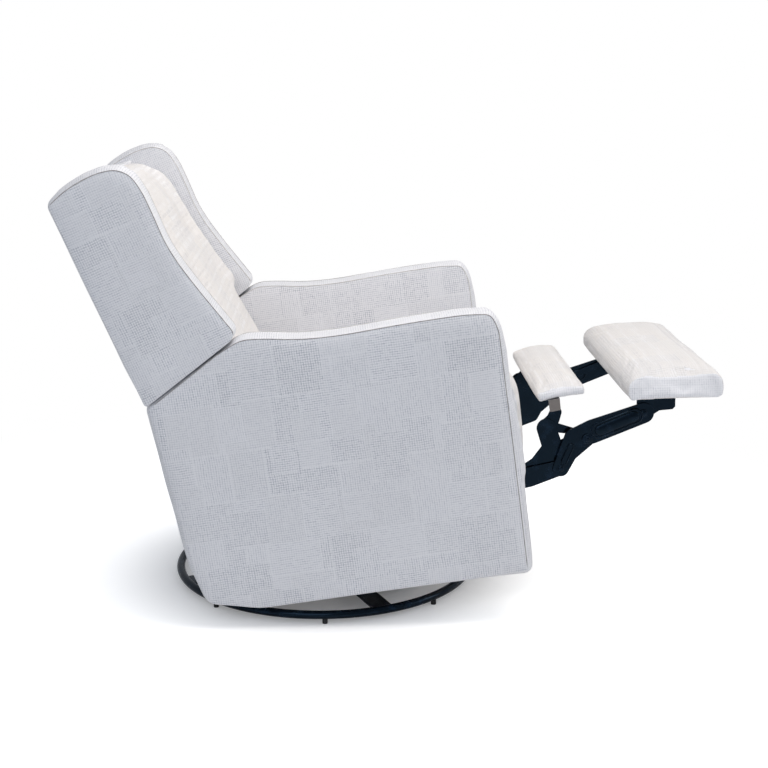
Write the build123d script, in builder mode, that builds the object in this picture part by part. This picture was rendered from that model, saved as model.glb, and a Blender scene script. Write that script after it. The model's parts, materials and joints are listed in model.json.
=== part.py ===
"""Swivel glider recliner, piece by piece, in millimetres.

The chair faces -Y and stands on Z = 0.  It is drawn as it stands with its leg rest out: the
upholstered body leans back on its glide links, and the back sits against the arms.

Most pieces are drawn in the chair body's own side view, where a point is (forward, up) from
the floor point under the swivel axis, and that view leans back by BODY_TILT.
"""

from build123d import *
from math import atan2, cos, degrees, hypot, radians, sin
import os

os.makedirs("parts", exist_ok=True)

# ------------------------------------------------------------------ whole chair
OVERALL_WIDTH = 760.0
ARM_THICKNESS = 82.0
BODY_TILT = 7.8  # degrees the chair body leans back on its glider
SEAT_CLEARANCE = 5.0  # cloth to cloth, each side of the seat
PLAY = 0.5  # between flat faces that slide past each other
PIN_PLAY = 0.05  # radial, pin in its hole

MECHANISM_INSET = 40.0  # seat plates inside the seat's sides
GLIDER_INSET = 63.0  # glider posts inside the seat plates

HALF_WIDTH = OVERALL_WIDTH / 2
ARM_INNER = HALF_WIDTH - ARM_THICKNESS
SEAT_HALF = ARM_INNER - SEAT_CLEARANCE
SEAT_PLATE_INNER = SEAT_HALF - MECHANISM_INSET
POST_OUTER = SEAT_PLATE_INNER - GLIDER_INSET

# ------------------------------------------------------------------ arms, side view
ARM_FRONT = 458.0
ARM_BOTTOM = 66.0
ARM_HEEL = (-131.0, ARM_BOTTOM)
ARM_TAIL = (-244.0, 94.0)
ARM_SHOULDER = (-298.0, 543.0)
ARM_NECK = (-113.0, 653.0)
ARM_REST = [(-75.0, 661.0), (-35.0, 659.0), (39.0, 648.0), (121.0, 644.0), (267.0, 650.0), (364.0, 651.0)]
ARM_BROW = (428.0, 645.0)
ARM_TOP_CORNER = 20.0
ARM_FRONT_CROWN = 18.0
ARM_TOP_CROWN = 9.0
ARM_BOARD = 18.0
ARM_BOARD_INSET = 30.0

# ------------------------------------------------------------------ back, in its own view
BACK_HEEL = (-302.0, 545.0)  # bottom of the back's rear face
BACK_LEAN = 15.3  # degrees, against the chair body
BACK_HEIGHT = 466.0
BACK_DROP = 194.0  # how far the back reaches down between the arms
WING_GAP = 4.0  # wing above the arm's rear slope
# the wing's top and its upper front are heights over BACK_HEIGHT
WING_TOP = [(8.0, 4.0), (32.0, 9.0), (79.0, 13.0), (123.0, 11.0), (155.0, 8.0), (176.0, -5.0)]
WING_BROW = [(187.0, -34.0), (190.0, -93.0)]
WING_FRONT = [(188.0, 320.0), (188.0, 262.0), (198.0, 215.0), (218.0, 141.0)]
WING_TOE = [(238.0, 82.0), (238.0, 71.0), (228.0, 64.5)]
WING_CROWN = 7.0
BACK_PANEL = 18.0
BACK_POST_DEPTH = 34.0
BACK_POST_WIDTH = 24.0
BACK_RAIL_HEIGHT = 40.0
BACK_CUSHION_REAR = BACK_PANEL + BACK_POST_DEPTH + 2 * PLAY
BACK_CUSHION_TOP = BACK_HEIGHT - 8.0
BACK_CUSHION_BROW = (126.0, BACK_CUSHION_TOP - 58.0)
BACK_CUSHION_BELLY = [(148.0, 300.0), (168.0, 180.0), (192.0, 70.0), (203.0, -30.0), (200.0, -110.0)]
BACK_CUSHION_CROWN = 16.0
BACK_TOP_CROWN = 12.0
BACK_BRACKET_PATH = [(37.0, -196.0), (37.0, -150.0), (36.0, 10.0)]
BACK_BRACKET_WIDTHS = [34.0, 30.0, 28.0, 24.0]
HINGE = (-215.0, 300.0)  # recline pivot, chair body view

# ------------------------------------------------------------------ seat
CUSHION_TOP = 497.0
CUSHION_CROWN = 18.0
CUSHION_REAR = -62.0
CUSHION_NOSE = 494.0
CUSHION_LIP = 296.0
CUSHION_NOSE_DEPTH = 48.0  # in front of the front rail's rear face
CUSHION_DRAWN = (8.0, 12.0, 4.0)  # how far its ends are drawn in at the nose, the top and the rear
CUSHION_BROW = 42.0
RAIL_TOP = 350.0
RAIL_HEIGHT = 38.0
RAIL_WIDTH = 20.0
SEAT_RAIL_REAR = -60.0
SEAT_RAIL_FRONT = CUSHION_NOSE - CUSHION_NOSE_DEPTH
FRONT_RAIL_DEPTH = 16.0
PLATE = 3.0
PLATE_EYE = 18.0  # radius round the recline pivot
PLATE_DROP = 30.0  # below the rails at the leg rest pivots
SPRING_WIRE = 1.6  # radius
SPRING_COUNT = 5
SPRING_EDGE = 85.0  # outer springs inside the seat plates
SPRING_PITCH = 2 * (SEAT_PLATE_INNER - SPRING_EDGE) / (SPRING_COUNT - 1)
SPRING_WAVE = 22.0
SPRING_TURNS = 11
TORQUE_TUBE = 16.0
ROLLER_RADIUS = 15.5
ROLLER_WIDTH = 10.0
ROLLERS_AT = (-20.0, SEAT_RAIL_FRONT - 66.0)
TRACK_WALL = 4.0
TRACK_DEPTH = 18.0
TRACK_ENDS = (-110.0, ARM_FRONT - 12.0)
ROLLER_HEIGHT = 325.0

# ------------------------------------------------------------------ base and swivel
RING_RADIUS = 351.0
RING_TUBE = 9.5
GLIDE_FEET = 8
GLIDE_FOOT_RADIUS = 6.0
GLIDE_FOOT_HEIGHT = 12.0
RING_HEIGHT = 19.5
CROSS_WIDTH = 45.0
CROSS_THICKNESS = 6.0
CROSS_TURN = 22.5  # degrees, base turned under the chair
BEARING_RADIUS = 100.0
BEARING_BORE = 60.0
RACE = 4.0
BEARING = 5.0
SPINDLE_RADIUS = 8.0
PAN_HALF_WIDTH = POST_OUTER + 6.0
PAN_HALF_LENGTH = 192.0
PAN_CORNER = 30.0

# ------------------------------------------------------------------ glider
GLIDE_TOP_SPACING = 340.0
GLIDE_AHEAD = 30.0  # middle of the glider in front of the swivel axis
GLIDE_BOTTOM_SPACING = 260.0
GLIDE_LINK = 150.0
GLIDE_TOP_HEIGHT = 235.0
FRONT_LINK_SWUNG = 40.567  # degrees rearwards of upright
POST_WIDTH = 36.0
POST_FOOT = 30.0
LINK_THICKNESS = 4.0
LINK_WIDTH = 28.0
GLIDE_PIN = 5.0
OPEN_PIVOT_PLAY = 4.5
CROSS_TUBE = 25.0
CROSS_TUBES_AT = (-82.0, 42.0)
CHASSIS_RAIL_ENDS = (-190.0, 205.0)
CHASSIS_RAIL_WIDTH = 23.0

# ------------------------------------------------------------------ leg rest linkage, body view
LOWER_PIVOT = (CUSHION_NOSE - 167.1, 297.9)
UPPER_PIVOT = (CUSHION_NOSE - 70.7, 305.2)
LOWER_JOINT = (CUSHION_NOSE + 78.0, 243.0)
FLIPPER_JOINT = (CUSHION_NOSE + 57.0, 339.0)
CROSS_JOINT = (CUSHION_NOSE + 144.0, 304.0)
FOOT_JOINT = (CUSHION_NOSE + 276.0, 345.0)
TORQUE_TUBE_AT = (LOWER_PIVOT[0] - 64.9, 325.0)
LOWER_KNEES = [(51.1, -49.9), (113.1, -71.9), (173.1, -65.9)]  # from its pivot
LOWER_WIDTHS = [28.0, 34.0, 44.0, 46.0, 34.0]
UPPER_KNEES = [(24.7, -43.2), (60.7, -65.2), (100.7, -49.2)]  # from its pivot, the last one its fork
UPPER_WIDTHS = [28.0, 30.0, 34.0, 42.0]
FLIPPER_KNEE = (137.0, -14.0)
FLIPPER_WIDTHS = [42.0, 46.0, 44.0]
CROSS_KNEE = (158.0, -29.0)
CROSS_WIDTHS = [42.0, 60.0, 42.0]
LONG_KNEES = [(-28.0, 4.0), (14.0, 15.0)]  # from the crossing joint
LONG_WIDTHS = [36.0, 48.0, 55.0, 47.0]
LONG_RIB_ENDS = [(-104.0, -25.0), (-20.0, -3.0)]  # from the foot joint
LONG_RIB_WIDTH = 36.0
SHORT_RIB_ENDS = [(8.0, 15.0), (28.0, 49.0)]  # from the lower joint
SHORT_RIB_WIDTH = 14.0
CONTROL_ARM = 18.0
CONTROL_ANGLE = 62.26
CONTROL_PIN = 4.0
CONTROL_WIDTH = 16.0
FOOT_ARM = 24.0
FOOT_ANGLE = 42.26
STRAP = 2.5
LONG_STRAP = 4.0
LONG_RIB = 3.5
LEG_PIN = 6.0
RIVET_HEAD = 9.0
RIVET_HEIGHT = 2.5
LINKAGE_INSET = 27.5  # the innermost link inside the seat plates
FLIPPER_LAYER = SEAT_PLATE_INNER - LINKAGE_INSET
UPPER_LAYER = FLIPPER_LAYER + STRAP + PLAY
CONTROL_LAYER = UPPER_LAYER + STRAP + PLAY
LOWER_LAYER = CONTROL_LAYER + STRAP + PLAY
LONG_LAYER = LOWER_LAYER + STRAP + PLAY

# ------------------------------------------------------------------ leg rest pads
FOOT_PAD_AT = (CUSHION_NOSE + 240.0, 441.0)  # rear top edge of the large pad
FOOT_PAD_PITCH = -6.44
FOOT_PAD_LENGTH = 217.0
FOOT_PAD_THICKNESS = 49.0
FOOT_PAD_HALF = SEAT_HALF
FOOT_PAD_CROWN = 7.0
FOOT_BOARD = 10.0  # let into the pad's underside
FOOT_BOARD_INSET = 14.0
FOOT_TAB = 26.0
FOOT_TAB_AT = (24.0, 72.0)  # ahead of the foot joint
# from the foot joint
FOOT_BRACKET_RIM = [(-15.0, 0.0), (15.0, -10.0), (36.0, 4.0), (66.0, 6.0), (72.0, 12.0)]
FOOT_BRACKET_EYE = 16.0
FLIPPER_AT = (CUSHION_NOSE + 51.0, 418.0)
FLIPPER_PITCH = 1.65
FLIPPER_LENGTH = 104.0
FLIPPER_THICKNESS = 17.0
FLIPPER_HALF = FLIPPER_LAYER - 3.5
FLIPPER_CROWN = 5.0
FLIPPER_BOARD = 6.0  # let into the pad's underside
FLIPPER_BOARD_ENDS = (8.0, FLIPPER_LENGTH - 10.0)
FLIPPER_TAB = 22.0
FLIPPER_TAB_AT = (17.0, 43.0)
FLIPPER_STEM = [(17.0, 17.0), (25.0, 33.0)]  # from the small pad's joint
FLIPPER_STEM_WIDTHS = [38.0, 30.0, 27.0]
FLIPPER_STOP = [(11.0, 1.0), (61.0, -17.0)]

# ------------------------------------------------------------------ release handle
HANDLE_AT = (390.0, 548.0)
HANDLE_LENGTH = 78.0
HANDLE_WIDTH = 20.0
HANDLE_THICKNESS = 9.0
ESCUTCHEON = 4.0


def turn(point, angle):
    """The point (forward, up) turned about the origin by angle degrees, forward towards up."""
    a = radians(angle)
    return (point[0] * cos(a) - point[1] * sin(a), point[0] * sin(a) + point[1] * cos(a))


def shift(point, other):
    """The two (forward, up) vectors added."""
    return (point[0] + other[0], point[1] + other[1])


def polar(length, angle):
    """The (forward, up) vector of this length at this angle."""
    return (length * cos(radians(angle)), length * sin(radians(angle)))


def steps_from(start, steps):
    """The points that these steps, each from the start, lead to."""
    return [shift(start, step) for step in steps]


def from_back(point):
    """A point of the back's own view in the chair body's view."""
    return shift(BACK_HEEL, turn(point, BACK_LEAN))


# The origin is midway between the leg rest's tip and the back's highest rear edge.
FOOT_TIP = shift(FOOT_PAD_AT, turn((FOOT_PAD_LENGTH, -FOOT_PAD_THICKNESS * 0.4), FOOT_PAD_PITCH))
FRONT_REACH = turn(FOOT_TIP, BODY_TILT)[0]
REAR_REACH = turn(from_back((0, BACK_HEIGHT)), BODY_TILT)[0]
SWIVEL_Y = (FRONT_REACH + REAR_REACH) / 2


def side(x, origin=(0, 0), pitch=0.0):
    """A side-view plane at x, with its own origin and pitch in the chair body's view."""
    at = turn(origin, BODY_TILT)
    a = radians(BODY_TILT + pitch)
    return Plane(origin=(x, SWIVEL_Y - at[0], at[1]), x_dir=(0, -cos(a), sin(a)), z_dir=(-1, 0, 0))


def level(x):
    """The side view of what stands level on the floor."""
    return side(x, pitch=-BODY_TILT)


def back_side(x):
    """The side view of the back: along its depth, then up its rear face."""
    return side(x, BACK_HEEL, BACK_LEAN)


def foot_side(x):
    """The side view of the large leg rest pad, from its rear top edge."""
    return side(x, FOOT_PAD_AT, FOOT_PAD_PITCH)


def flip_side(x):
    """The side view of the small pad, from its rear top edge."""
    return side(x, FLIPPER_AT, FLIPPER_PITCH)


def keep(solid, name):
    """Label a finished piece and write it."""
    solid.label = name
    export_step(solid, f"parts/{name}.step")
    return solid


def keep_pair(solid, name):
    """Write the piece of the sitter's right side, and its mirror image on the left."""
    keep(solid, f"{name}_right")
    with BuildPart() as other:
        mirror(solid, about=Plane.YZ)
    keep(other.part, f"{name}_left")


def both_sides(solid):
    """The piece of the right side and its mirror image, as two solids of one part."""
    with BuildPart() as pair:
        add(solid)
        mirror(solid, about=Plane.YZ)
    return pair.part


def strap_outline(points, widths):
    """In a sketch: a flat link with round ends through these points, as wide as given at each."""
    for (a, wide_a), (b, wide_b) in zip(zip(points, widths), zip(points[1:], widths[1:])):
        with BuildSketch(mode=Mode.PRIVATE) as step:
            with BuildLine():
                length = hypot(b[0] - a[0], b[1] - a[1])
                along = degrees(atan2(b[1] - a[1], b[0] - a[0]))
                open_angle = degrees(atan2(wide_a / 2 - wide_b / 2, length))
                edges = [
                    (shift(a, polar(wide_a / 2, along + s * (90 - open_angle))),
                     shift(b, polar(wide_b / 2, along + s * (90 - open_angle))))
                    for s in (1, -1)
                ]
                Polyline(edges[0][0], edges[0][1], edges[1][1], edges[1][0], close=True)
            make_face()
        add(step.sketch)
    for point, wide in zip(points, widths):
        with Locations(point):
            Circle(wide / 2)


def strap(inner, thickness, points, widths, holes=(), pins=(), view=side):
    """A flat link from inner outwards, with drilled holes and pins.

    holes are (point, radius); pins are (point, radius, from, to) with from and to as distances
    from the chair's middle.
    """
    with BuildPart() as link:
        with BuildSketch(view(-inner)):
            strap_outline(points, widths)
            for point, radius in holes:
                with Locations(point):
                    Circle(radius, mode=Mode.SUBTRACT)
        extrude(amount=thickness)
        for point, radius, start, end in pins:
            with BuildSketch(view(-start)):
                with Locations(point):
                    Circle(radius)
            extrude(amount=end - start)
    return link.part


def bar(view, start, end, outline):
    """A straight piece between two distances from the middle, right side, from a closed outline."""
    with BuildPart() as piece:
        with BuildSketch(view(-start)):
            with BuildLine():
                Polyline(*outline, close=True)
            make_face()
        extrude(amount=end - start)
    return piece.part


def across(view, half, outline):
    """A straight piece across the whole chair, half to each side of its middle."""
    with BuildPart() as piece:
        with BuildSketch(view(0)):
            with BuildLine():
                Polyline(*outline, close=True)
            make_face()
        extrude(amount=half, both=True)
    return piece.part


def box_outline(low, high):
    """The four corners of a rectangle of the side view."""
    return [low, (high[0], low[1]), high, (low[0], high[1])]


# ================================================================== base
with BuildPart() as base_ring:
    with Locations((0, SWIVEL_Y, RING_HEIGHT)):
        Torus(RING_RADIUS, RING_TUBE)
keep(base_ring.part, "base_ring")

CROSS_TOP = RING_HEIGHT + CROSS_THICKNESS / 2
with BuildPart() as base_cross:
    with BuildSketch(Plane((0, SWIVEL_Y, RING_HEIGHT - CROSS_THICKNESS / 2))):
        for quarter in range(2):
            Rectangle(2 * RING_RADIUS, CROSS_WIDTH, rotation=CROSS_TURN + 90 * quarter)
        Circle(SPINDLE_RADIUS, mode=Mode.SUBTRACT)
    extrude(amount=CROSS_THICKNESS)
    add(base_ring.part, mode=Mode.SUBTRACT)
keep(base_cross.part.solids().sort_by(SortBy.VOLUME)[-1], "base_cross")

with BuildPart() as floor_glides:
    with Locations(Location((0, SWIVEL_Y, GLIDE_FOOT_HEIGHT / 2))):
        with PolarLocations(RING_RADIUS, GLIDE_FEET):
            Cylinder(GLIDE_FOOT_RADIUS, GLIDE_FOOT_HEIGHT)
    add(base_ring.part, mode=Mode.SUBTRACT)
keep(floor_glides.part, "floor_glides")

with BuildPart() as lower_race:
    with BuildSketch(Plane((0, SWIVEL_Y, CROSS_TOP))):
        Circle(BEARING_RADIUS)
        Circle(SPINDLE_RADIUS, mode=Mode.SUBTRACT)
    extrude(amount=RACE)
keep(lower_race.part, "swivel_lower_race")

BEARING_BASE = CROSS_TOP + RACE
with BuildPart() as bearing_ring:
    with BuildSketch(Plane((0, SWIVEL_Y, BEARING_BASE))):
        Circle(BEARING_RADIUS - BEARING)
        Circle(BEARING_BORE, mode=Mode.SUBTRACT)
    extrude(amount=BEARING)
    fillet(bearing_ring.edges().group_by(Axis.Z)[-1], BEARING / 4)
keep(bearing_ring.part, "swivel_bearing_ring")

PAN_BASE = BEARING_BASE + BEARING + PLAY / 2
PAN_TOP = PAN_BASE + RACE
with BuildPart() as spindle:
    with BuildSketch(Plane((0, SWIVEL_Y, RING_HEIGHT - CROSS_THICKNESS / 2 - RACE))):
        RegularPolygon(1.8 * SPINDLE_RADIUS, 6)
    extrude(amount=RACE)
    with BuildSketch(Plane((0, SWIVEL_Y, RING_HEIGHT - CROSS_THICKNESS / 2))):
        Circle(SPINDLE_RADIUS - PIN_PLAY)
    extrude(amount=PAN_TOP + PLAY - RING_HEIGHT + CROSS_THICKNESS / 2 + 2 * RACE)
    with BuildSketch(Plane((0, SWIVEL_Y, PAN_TOP + PLAY))):
        RegularPolygon(1.8 * SPINDLE_RADIUS, 6)
    extrude(amount=1.5 * RACE)
keep(spindle.part, "swivel_spindle")

# ================================================================== swivelling platform
with BuildPart() as pan:
    with BuildSketch(Plane((0, SWIVEL_Y, PAN_BASE))):
        with Locations((0, -GLIDE_AHEAD)):
            RectangleRounded(2 * PAN_HALF_WIDTH, 2 * PAN_HALF_LENGTH, PAN_CORNER)
        Circle(SPINDLE_RADIUS, mode=Mode.SUBTRACT)
    extrude(amount=RACE)
keep(pan.part, "swivel_platform")

POST_INNER = POST_OUTER - PLATE
GLIDE_LAYER = POST_OUTER + RIVET_HEIGHT + 3 * PLAY
GLIDE_RAIL_LAYER = GLIDE_LAYER + LINK_THICKNESS + 3 * PLAY
GLIDE_TOPS = {
    "front": (GLIDE_AHEAD + GLIDE_TOP_SPACING / 2, GLIDE_TOP_HEIGHT),
    "rear": (GLIDE_AHEAD - GLIDE_TOP_SPACING / 2, GLIDE_TOP_HEIGHT),
}


def glider_post(top):
    """An upright bracket on the platform, with the hole for a glide link's pin."""
    with BuildPart() as post:
        with BuildSketch(level(-POST_INNER)):
            with Locations(top):
                Circle(POST_WIDTH / 2)
            with Locations((top[0], (top[1] + PAN_TOP) / 2)):
                Rectangle(POST_WIDTH, top[1] - PAN_TOP)
            with Locations(top):
                Circle(GLIDE_PIN + PIN_PLAY, mode=Mode.SUBTRACT)
        extrude(amount=PLATE)
        with BuildSketch(level(-POST_INNER + POST_FOOT)):
            with Locations((top[0], PAN_TOP + PLATE / 2)):
                Rectangle(POST_WIDTH, PLATE)
        extrude(amount=POST_FOOT)
    return post.part


def round_pins(view, points, radius, start, end, head):
    """Headed pins at these points, from start to end out of the middle, right side."""
    with BuildPart() as pins:
        for point in points:
            with BuildSketch(view(-start)):
                with Locations(point):
                    Circle(radius)
            extrude(amount=end - start)
            for face, out in ((start, -1), (end, 1)):
                with BuildSketch(view(-face)):
                    with Locations(point):
                        Circle(head)
                extrude(amount=out * RIVET_HEIGHT)
    return pins.part


for place, top in GLIDE_TOPS.items():
    keep(both_sides(glider_post(top)), f"glider_posts_{place}")
upper_pins = round_pins(
    level, GLIDE_TOPS.values(), GLIDE_PIN, POST_INNER, GLIDE_LAYER + LINK_THICKNESS + PLAY, GLIDE_PIN + 1.0
)
keep(both_sides(upper_pins), "glide_pins_upper")

# ================================================================== glide links
FRONT_FOOT = shift(GLIDE_TOPS["front"], polar(GLIDE_LINK, -90 - FRONT_LINK_SWUNG))
REAR_FOOT = shift(FRONT_FOOT, polar(-GLIDE_BOTTOM_SPACING, BODY_TILT))
GLIDE_FEET_AT = {"front": FRONT_FOOT, "rear": REAR_FOOT}
for place, foot in GLIDE_FEET_AT.items():
    foot_hole = GLIDE_PIN + (PIN_PLAY if place == "front" else OPEN_PIVOT_PLAY)
    link = strap(
        GLIDE_LAYER,
        LINK_THICKNESS,
        [GLIDE_TOPS[place], foot],
        [LINK_WIDTH, LINK_WIDTH],
        holes=[(GLIDE_TOPS[place], GLIDE_PIN + PIN_PLAY), (foot, foot_hole)],
        view=level,
    )
    keep(both_sides(link), f"glide_links_{place}")

# ================================================================== chassis under the arms
RAIL_PIVOTS = [turn(FRONT_FOOT, -BODY_TILT), turn(REAR_FOOT, -BODY_TILT)]
glide_rail = strap(
    GLIDE_RAIL_LAYER,
    PLATE,
    RAIL_PIVOTS,
    [LINK_WIDTH + PLATE, LINK_WIDTH + PLATE],
    holes=[(point, GLIDE_PIN + PIN_PLAY) for point in RAIL_PIVOTS],
)
keep_pair(glide_rail, "glide_rail")
lower_pins = round_pins(
    side, RAIL_PIVOTS, GLIDE_PIN, GLIDE_LAYER - PLAY, GLIDE_RAIL_LAYER + PLATE, GLIDE_PIN + 1.0
)
keep(both_sides(lower_pins), "glide_pins_lower")

TUBE_BOTTOM = RAIL_PIVOTS[0][1] + (LINK_WIDTH + PLATE) / 2
CHASSIS_RAIL_INNER = ARM_INNER - CHASSIS_RAIL_WIDTH
with BuildPart() as cross_tubes:
    for at in CROSS_TUBES_AT:
        with BuildSketch(side(0)):
            with Locations((at, TUBE_BOTTOM + CROSS_TUBE / 2)):
                Rectangle(CROSS_TUBE, CROSS_TUBE)
                Rectangle(CROSS_TUBE - 2 * PLATE, CROSS_TUBE - 2 * PLATE, mode=Mode.SUBTRACT)
        extrude(amount=CHASSIS_RAIL_INNER, both=True)
keep(cross_tubes.part, "chassis_cross_tubes")

chassis_rail = bar(
    side,
    CHASSIS_RAIL_INNER,
    ARM_INNER,
    box_outline((CHASSIS_RAIL_ENDS[0], TUBE_BOTTOM), (CHASSIS_RAIL_ENDS[1], TUBE_BOTTOM + CROSS_TUBE)),
)
keep(both_sides(chassis_rail), "chassis_rails")


def arm_section(x, crown):
    """The arm's side outline at x, its front and top swollen by this share of the crown."""
    front = ARM_FRONT + crown * ARM_FRONT_CROWN
    lift = crown * ARM_TOP_CROWN
    brow = (ARM_BROW[0] + crown * ARM_FRONT_CROWN / 2, ARM_BROW[1] + lift)
    corner = (front - 2.0, brow[1] - 2 * ARM_TOP_CORNER)
    with BuildSketch(side(x)) as section:
        with BuildLine():
            Polyline((front, ARM_BOTTOM), ARM_HEEL, ARM_TAIL, ARM_SHOULDER, ARM_NECK)
            Spline(ARM_NECK, *[(s, h + lift) for s, h in ARM_REST], brow)
            ThreePointArc(brow, (front - 0.45 * ARM_TOP_CORNER, brow[1] - 0.5 * ARM_TOP_CORNER), corner)
            Line(corner, (front, ARM_BOTTOM))
        make_face()
    return section.sketch


with BuildPart() as arm_board:
    board_outer = (HALF_WIDTH + ARM_INNER + ARM_BOARD) / 2
    with BuildSketch(side(-board_outer + ARM_BOARD)):
        with BuildLine():
            Polyline(
                (ARM_FRONT - ARM_BOARD_INSET, ARM_BOTTOM),
                ARM_HEEL,
                (ARM_TAIL[0] + ARM_BOARD_INSET, ARM_TAIL[1]),
                (ARM_SHOULDER[0] + ARM_BOARD_INSET, ARM_SHOULDER[1] - ARM_BOARD_INSET),
                (ARM_NECK[0], ARM_NECK[1] - 1.5 * ARM_BOARD_INSET),
                (ARM_FRONT - ARM_BOARD_INSET, ARM_REST[-1][1] - 1.5 * ARM_BOARD_INSET),
                close=True,
            )
        make_face()
    extrude(amount=ARM_BOARD)
keep_pair(arm_board.part, "arm_frame")

with BuildPart() as arm:
    middle = (HALF_WIDTH + ARM_INNER) / 2
    loft(sections=[arm_section(-ARM_INNER, 0), arm_section(-middle, 1), arm_section(-HALF_WIDTH, 0)])
    add(arm_board.part, mode=Mode.SUBTRACT)
keep_pair(arm.part, "arm")

APRON_TOP = 322.0
APRON_THICKNESS = 20.0
apron_slope = (ARM_SHOULDER[0] - ARM_TAIL[0]) / (ARM_SHOULDER[1] - ARM_TAIL[1])
apron_top_rear = ARM_TAIL[0] + apron_slope * (APRON_TOP - ARM_TAIL[1])
rear_apron = across(
    side,
    ARM_INNER,
    [
        ARM_TAIL,
        (ARM_TAIL[0] + APRON_THICKNESS, ARM_TAIL[1]),
        (apron_top_rear + APRON_THICKNESS, APRON_TOP),
        (apron_top_rear, APRON_TOP),
    ],
)
keep(rear_apron, "rear_apron")

TRACK_INNER = ARM_INNER - TRACK_DEPTH
TRACK_HALF = ROLLER_RADIUS + PLAY
with BuildPart() as seat_track:
    track_length = TRACK_ENDS[1] - TRACK_ENDS[0]
    with BuildSketch(side(-TRACK_INNER)):
        with Locations(((TRACK_ENDS[0] + TRACK_ENDS[1]) / 2, ROLLER_HEIGHT)):
            Rectangle(track_length, 2 * (TRACK_HALF + TRACK_WALL))
    extrude(amount=TRACK_DEPTH)
    with BuildSketch(side(-TRACK_INNER)):
        with Locations(((TRACK_ENDS[0] + TRACK_ENDS[1]) / 2, ROLLER_HEIGHT)):
            Rectangle(track_length, 2 * TRACK_HALF)
    extrude(amount=TRACK_DEPTH - TRACK_WALL, mode=Mode.SUBTRACT)
keep_pair(seat_track.part, "seat_track")

with BuildPart() as escutcheon:
    with BuildSketch(side(-ARM_INNER + ESCUTCHEON)):
        with Locations(HANDLE_AT):
            Circle(HANDLE_WIDTH)
    extrude(amount=ESCUTCHEON)
    fillet(escutcheon.faces().sort_by(Axis.X)[-1].edges(), ESCUTCHEON / 3)
    with BuildSketch(side(-ARM_INNER + ESCUTCHEON + HANDLE_THICKNESS)):
        with Locations(HANDLE_AT):
            Circle(LEG_PIN)
    extrude(amount=HANDLE_THICKNESS)
keep(escutcheon.part, "handle_escutcheon")

with BuildPart() as handle:
    handle_face = ARM_INNER - ESCUTCHEON - PLAY
    tip = (HANDLE_AT[0] - HANDLE_LENGTH, HANDLE_AT[1])
    with BuildSketch(side(-handle_face + HANDLE_THICKNESS)):
        strap_outline([HANDLE_AT, tip], [1.4 * HANDLE_WIDTH, HANDLE_WIDTH])
        with Locations(HANDLE_AT):
            Circle(LEG_PIN + PIN_PLAY, mode=Mode.SUBTRACT)
    extrude(amount=HANDLE_THICKNESS)
keep(handle.part, "release_handle")

# ================================================================== seat carriage
SEAT_PLATE_OUTER = SEAT_PLATE_INNER + PLATE
RAIL_BOTTOM = RAIL_TOP - RAIL_HEIGHT
with BuildPart() as seat_plate:
    with BuildSketch(side(-SEAT_PLATE_INNER)):
        with BuildLine():
            Polyline(
                (LOWER_PIVOT[0] - LOWER_WIDTHS[0], RAIL_BOTTOM - PLATE_DROP),
                (UPPER_PIVOT[0] + UPPER_WIDTHS[0] / 2, RAIL_BOTTOM - PLATE_DROP + RIVET_HEAD / 2),
                (SEAT_RAIL_FRONT, RAIL_BOTTOM),
                (SEAT_RAIL_FRONT, RAIL_TOP - RIVET_HEAD),
                (SEAT_RAIL_REAR, RAIL_TOP - RIVET_HEAD),
                (HINGE[0], HINGE[1] + PLATE_EYE),
                (HINGE[0], HINGE[1] - PLATE_EYE),
                (SEAT_RAIL_REAR, RAIL_BOTTOM - 0.75 * PLATE_DROP),
                close=True,
            )
        make_face()
        with Locations(HINGE):
            Circle(PLATE_EYE)
    extrude(amount=PLATE)
    for pivot, layer in ((LOWER_PIVOT, LOWER_LAYER), (UPPER_PIVOT, UPPER_LAYER)):
        with BuildSketch(side(-layer)):
            with Locations(pivot):
                Circle(LEG_PIN)
        extrude(amount=SEAT_PLATE_INNER - layer)
    with BuildSketch(side(-SEAT_PLATE_OUTER)):
        with Locations(HINGE):
            Circle(LEG_PIN)
    extrude(amount=PLATE + 2 * PLAY)
    with BuildSketch(side(-SEAT_PLATE_OUTER - PLATE - 2 * PLAY)):
        with Locations(HINGE):
            Circle(RIVET_HEAD)
    extrude(amount=RIVET_HEIGHT)
keep_pair(seat_plate.part, "seat_plate")

side_rail = bar(
    side,
    SEAT_PLATE_OUTER,
    SEAT_PLATE_OUTER + RAIL_WIDTH,
    box_outline((SEAT_RAIL_REAR, RAIL_BOTTOM), (SEAT_RAIL_FRONT, RAIL_TOP)),
)
keep(both_sides(side_rail), "seat_side_rails")
front_rail = across(
    side,
    SEAT_PLATE_OUTER + RAIL_WIDTH,
    box_outline((SEAT_RAIL_FRONT, RAIL_BOTTOM), (SEAT_RAIL_FRONT + FRONT_RAIL_DEPTH, RAIL_TOP)),
)
keep(front_rail, "seat_front_rail")
rear_rail = across(
    side,
    SEAT_PLATE_INNER,
    box_outline((SEAT_RAIL_REAR, RAIL_BOTTOM), (SEAT_RAIL_REAR + RAIL_WIDTH, RAIL_TOP)),
)
keep(rear_rail, "seat_rear_rail")


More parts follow.
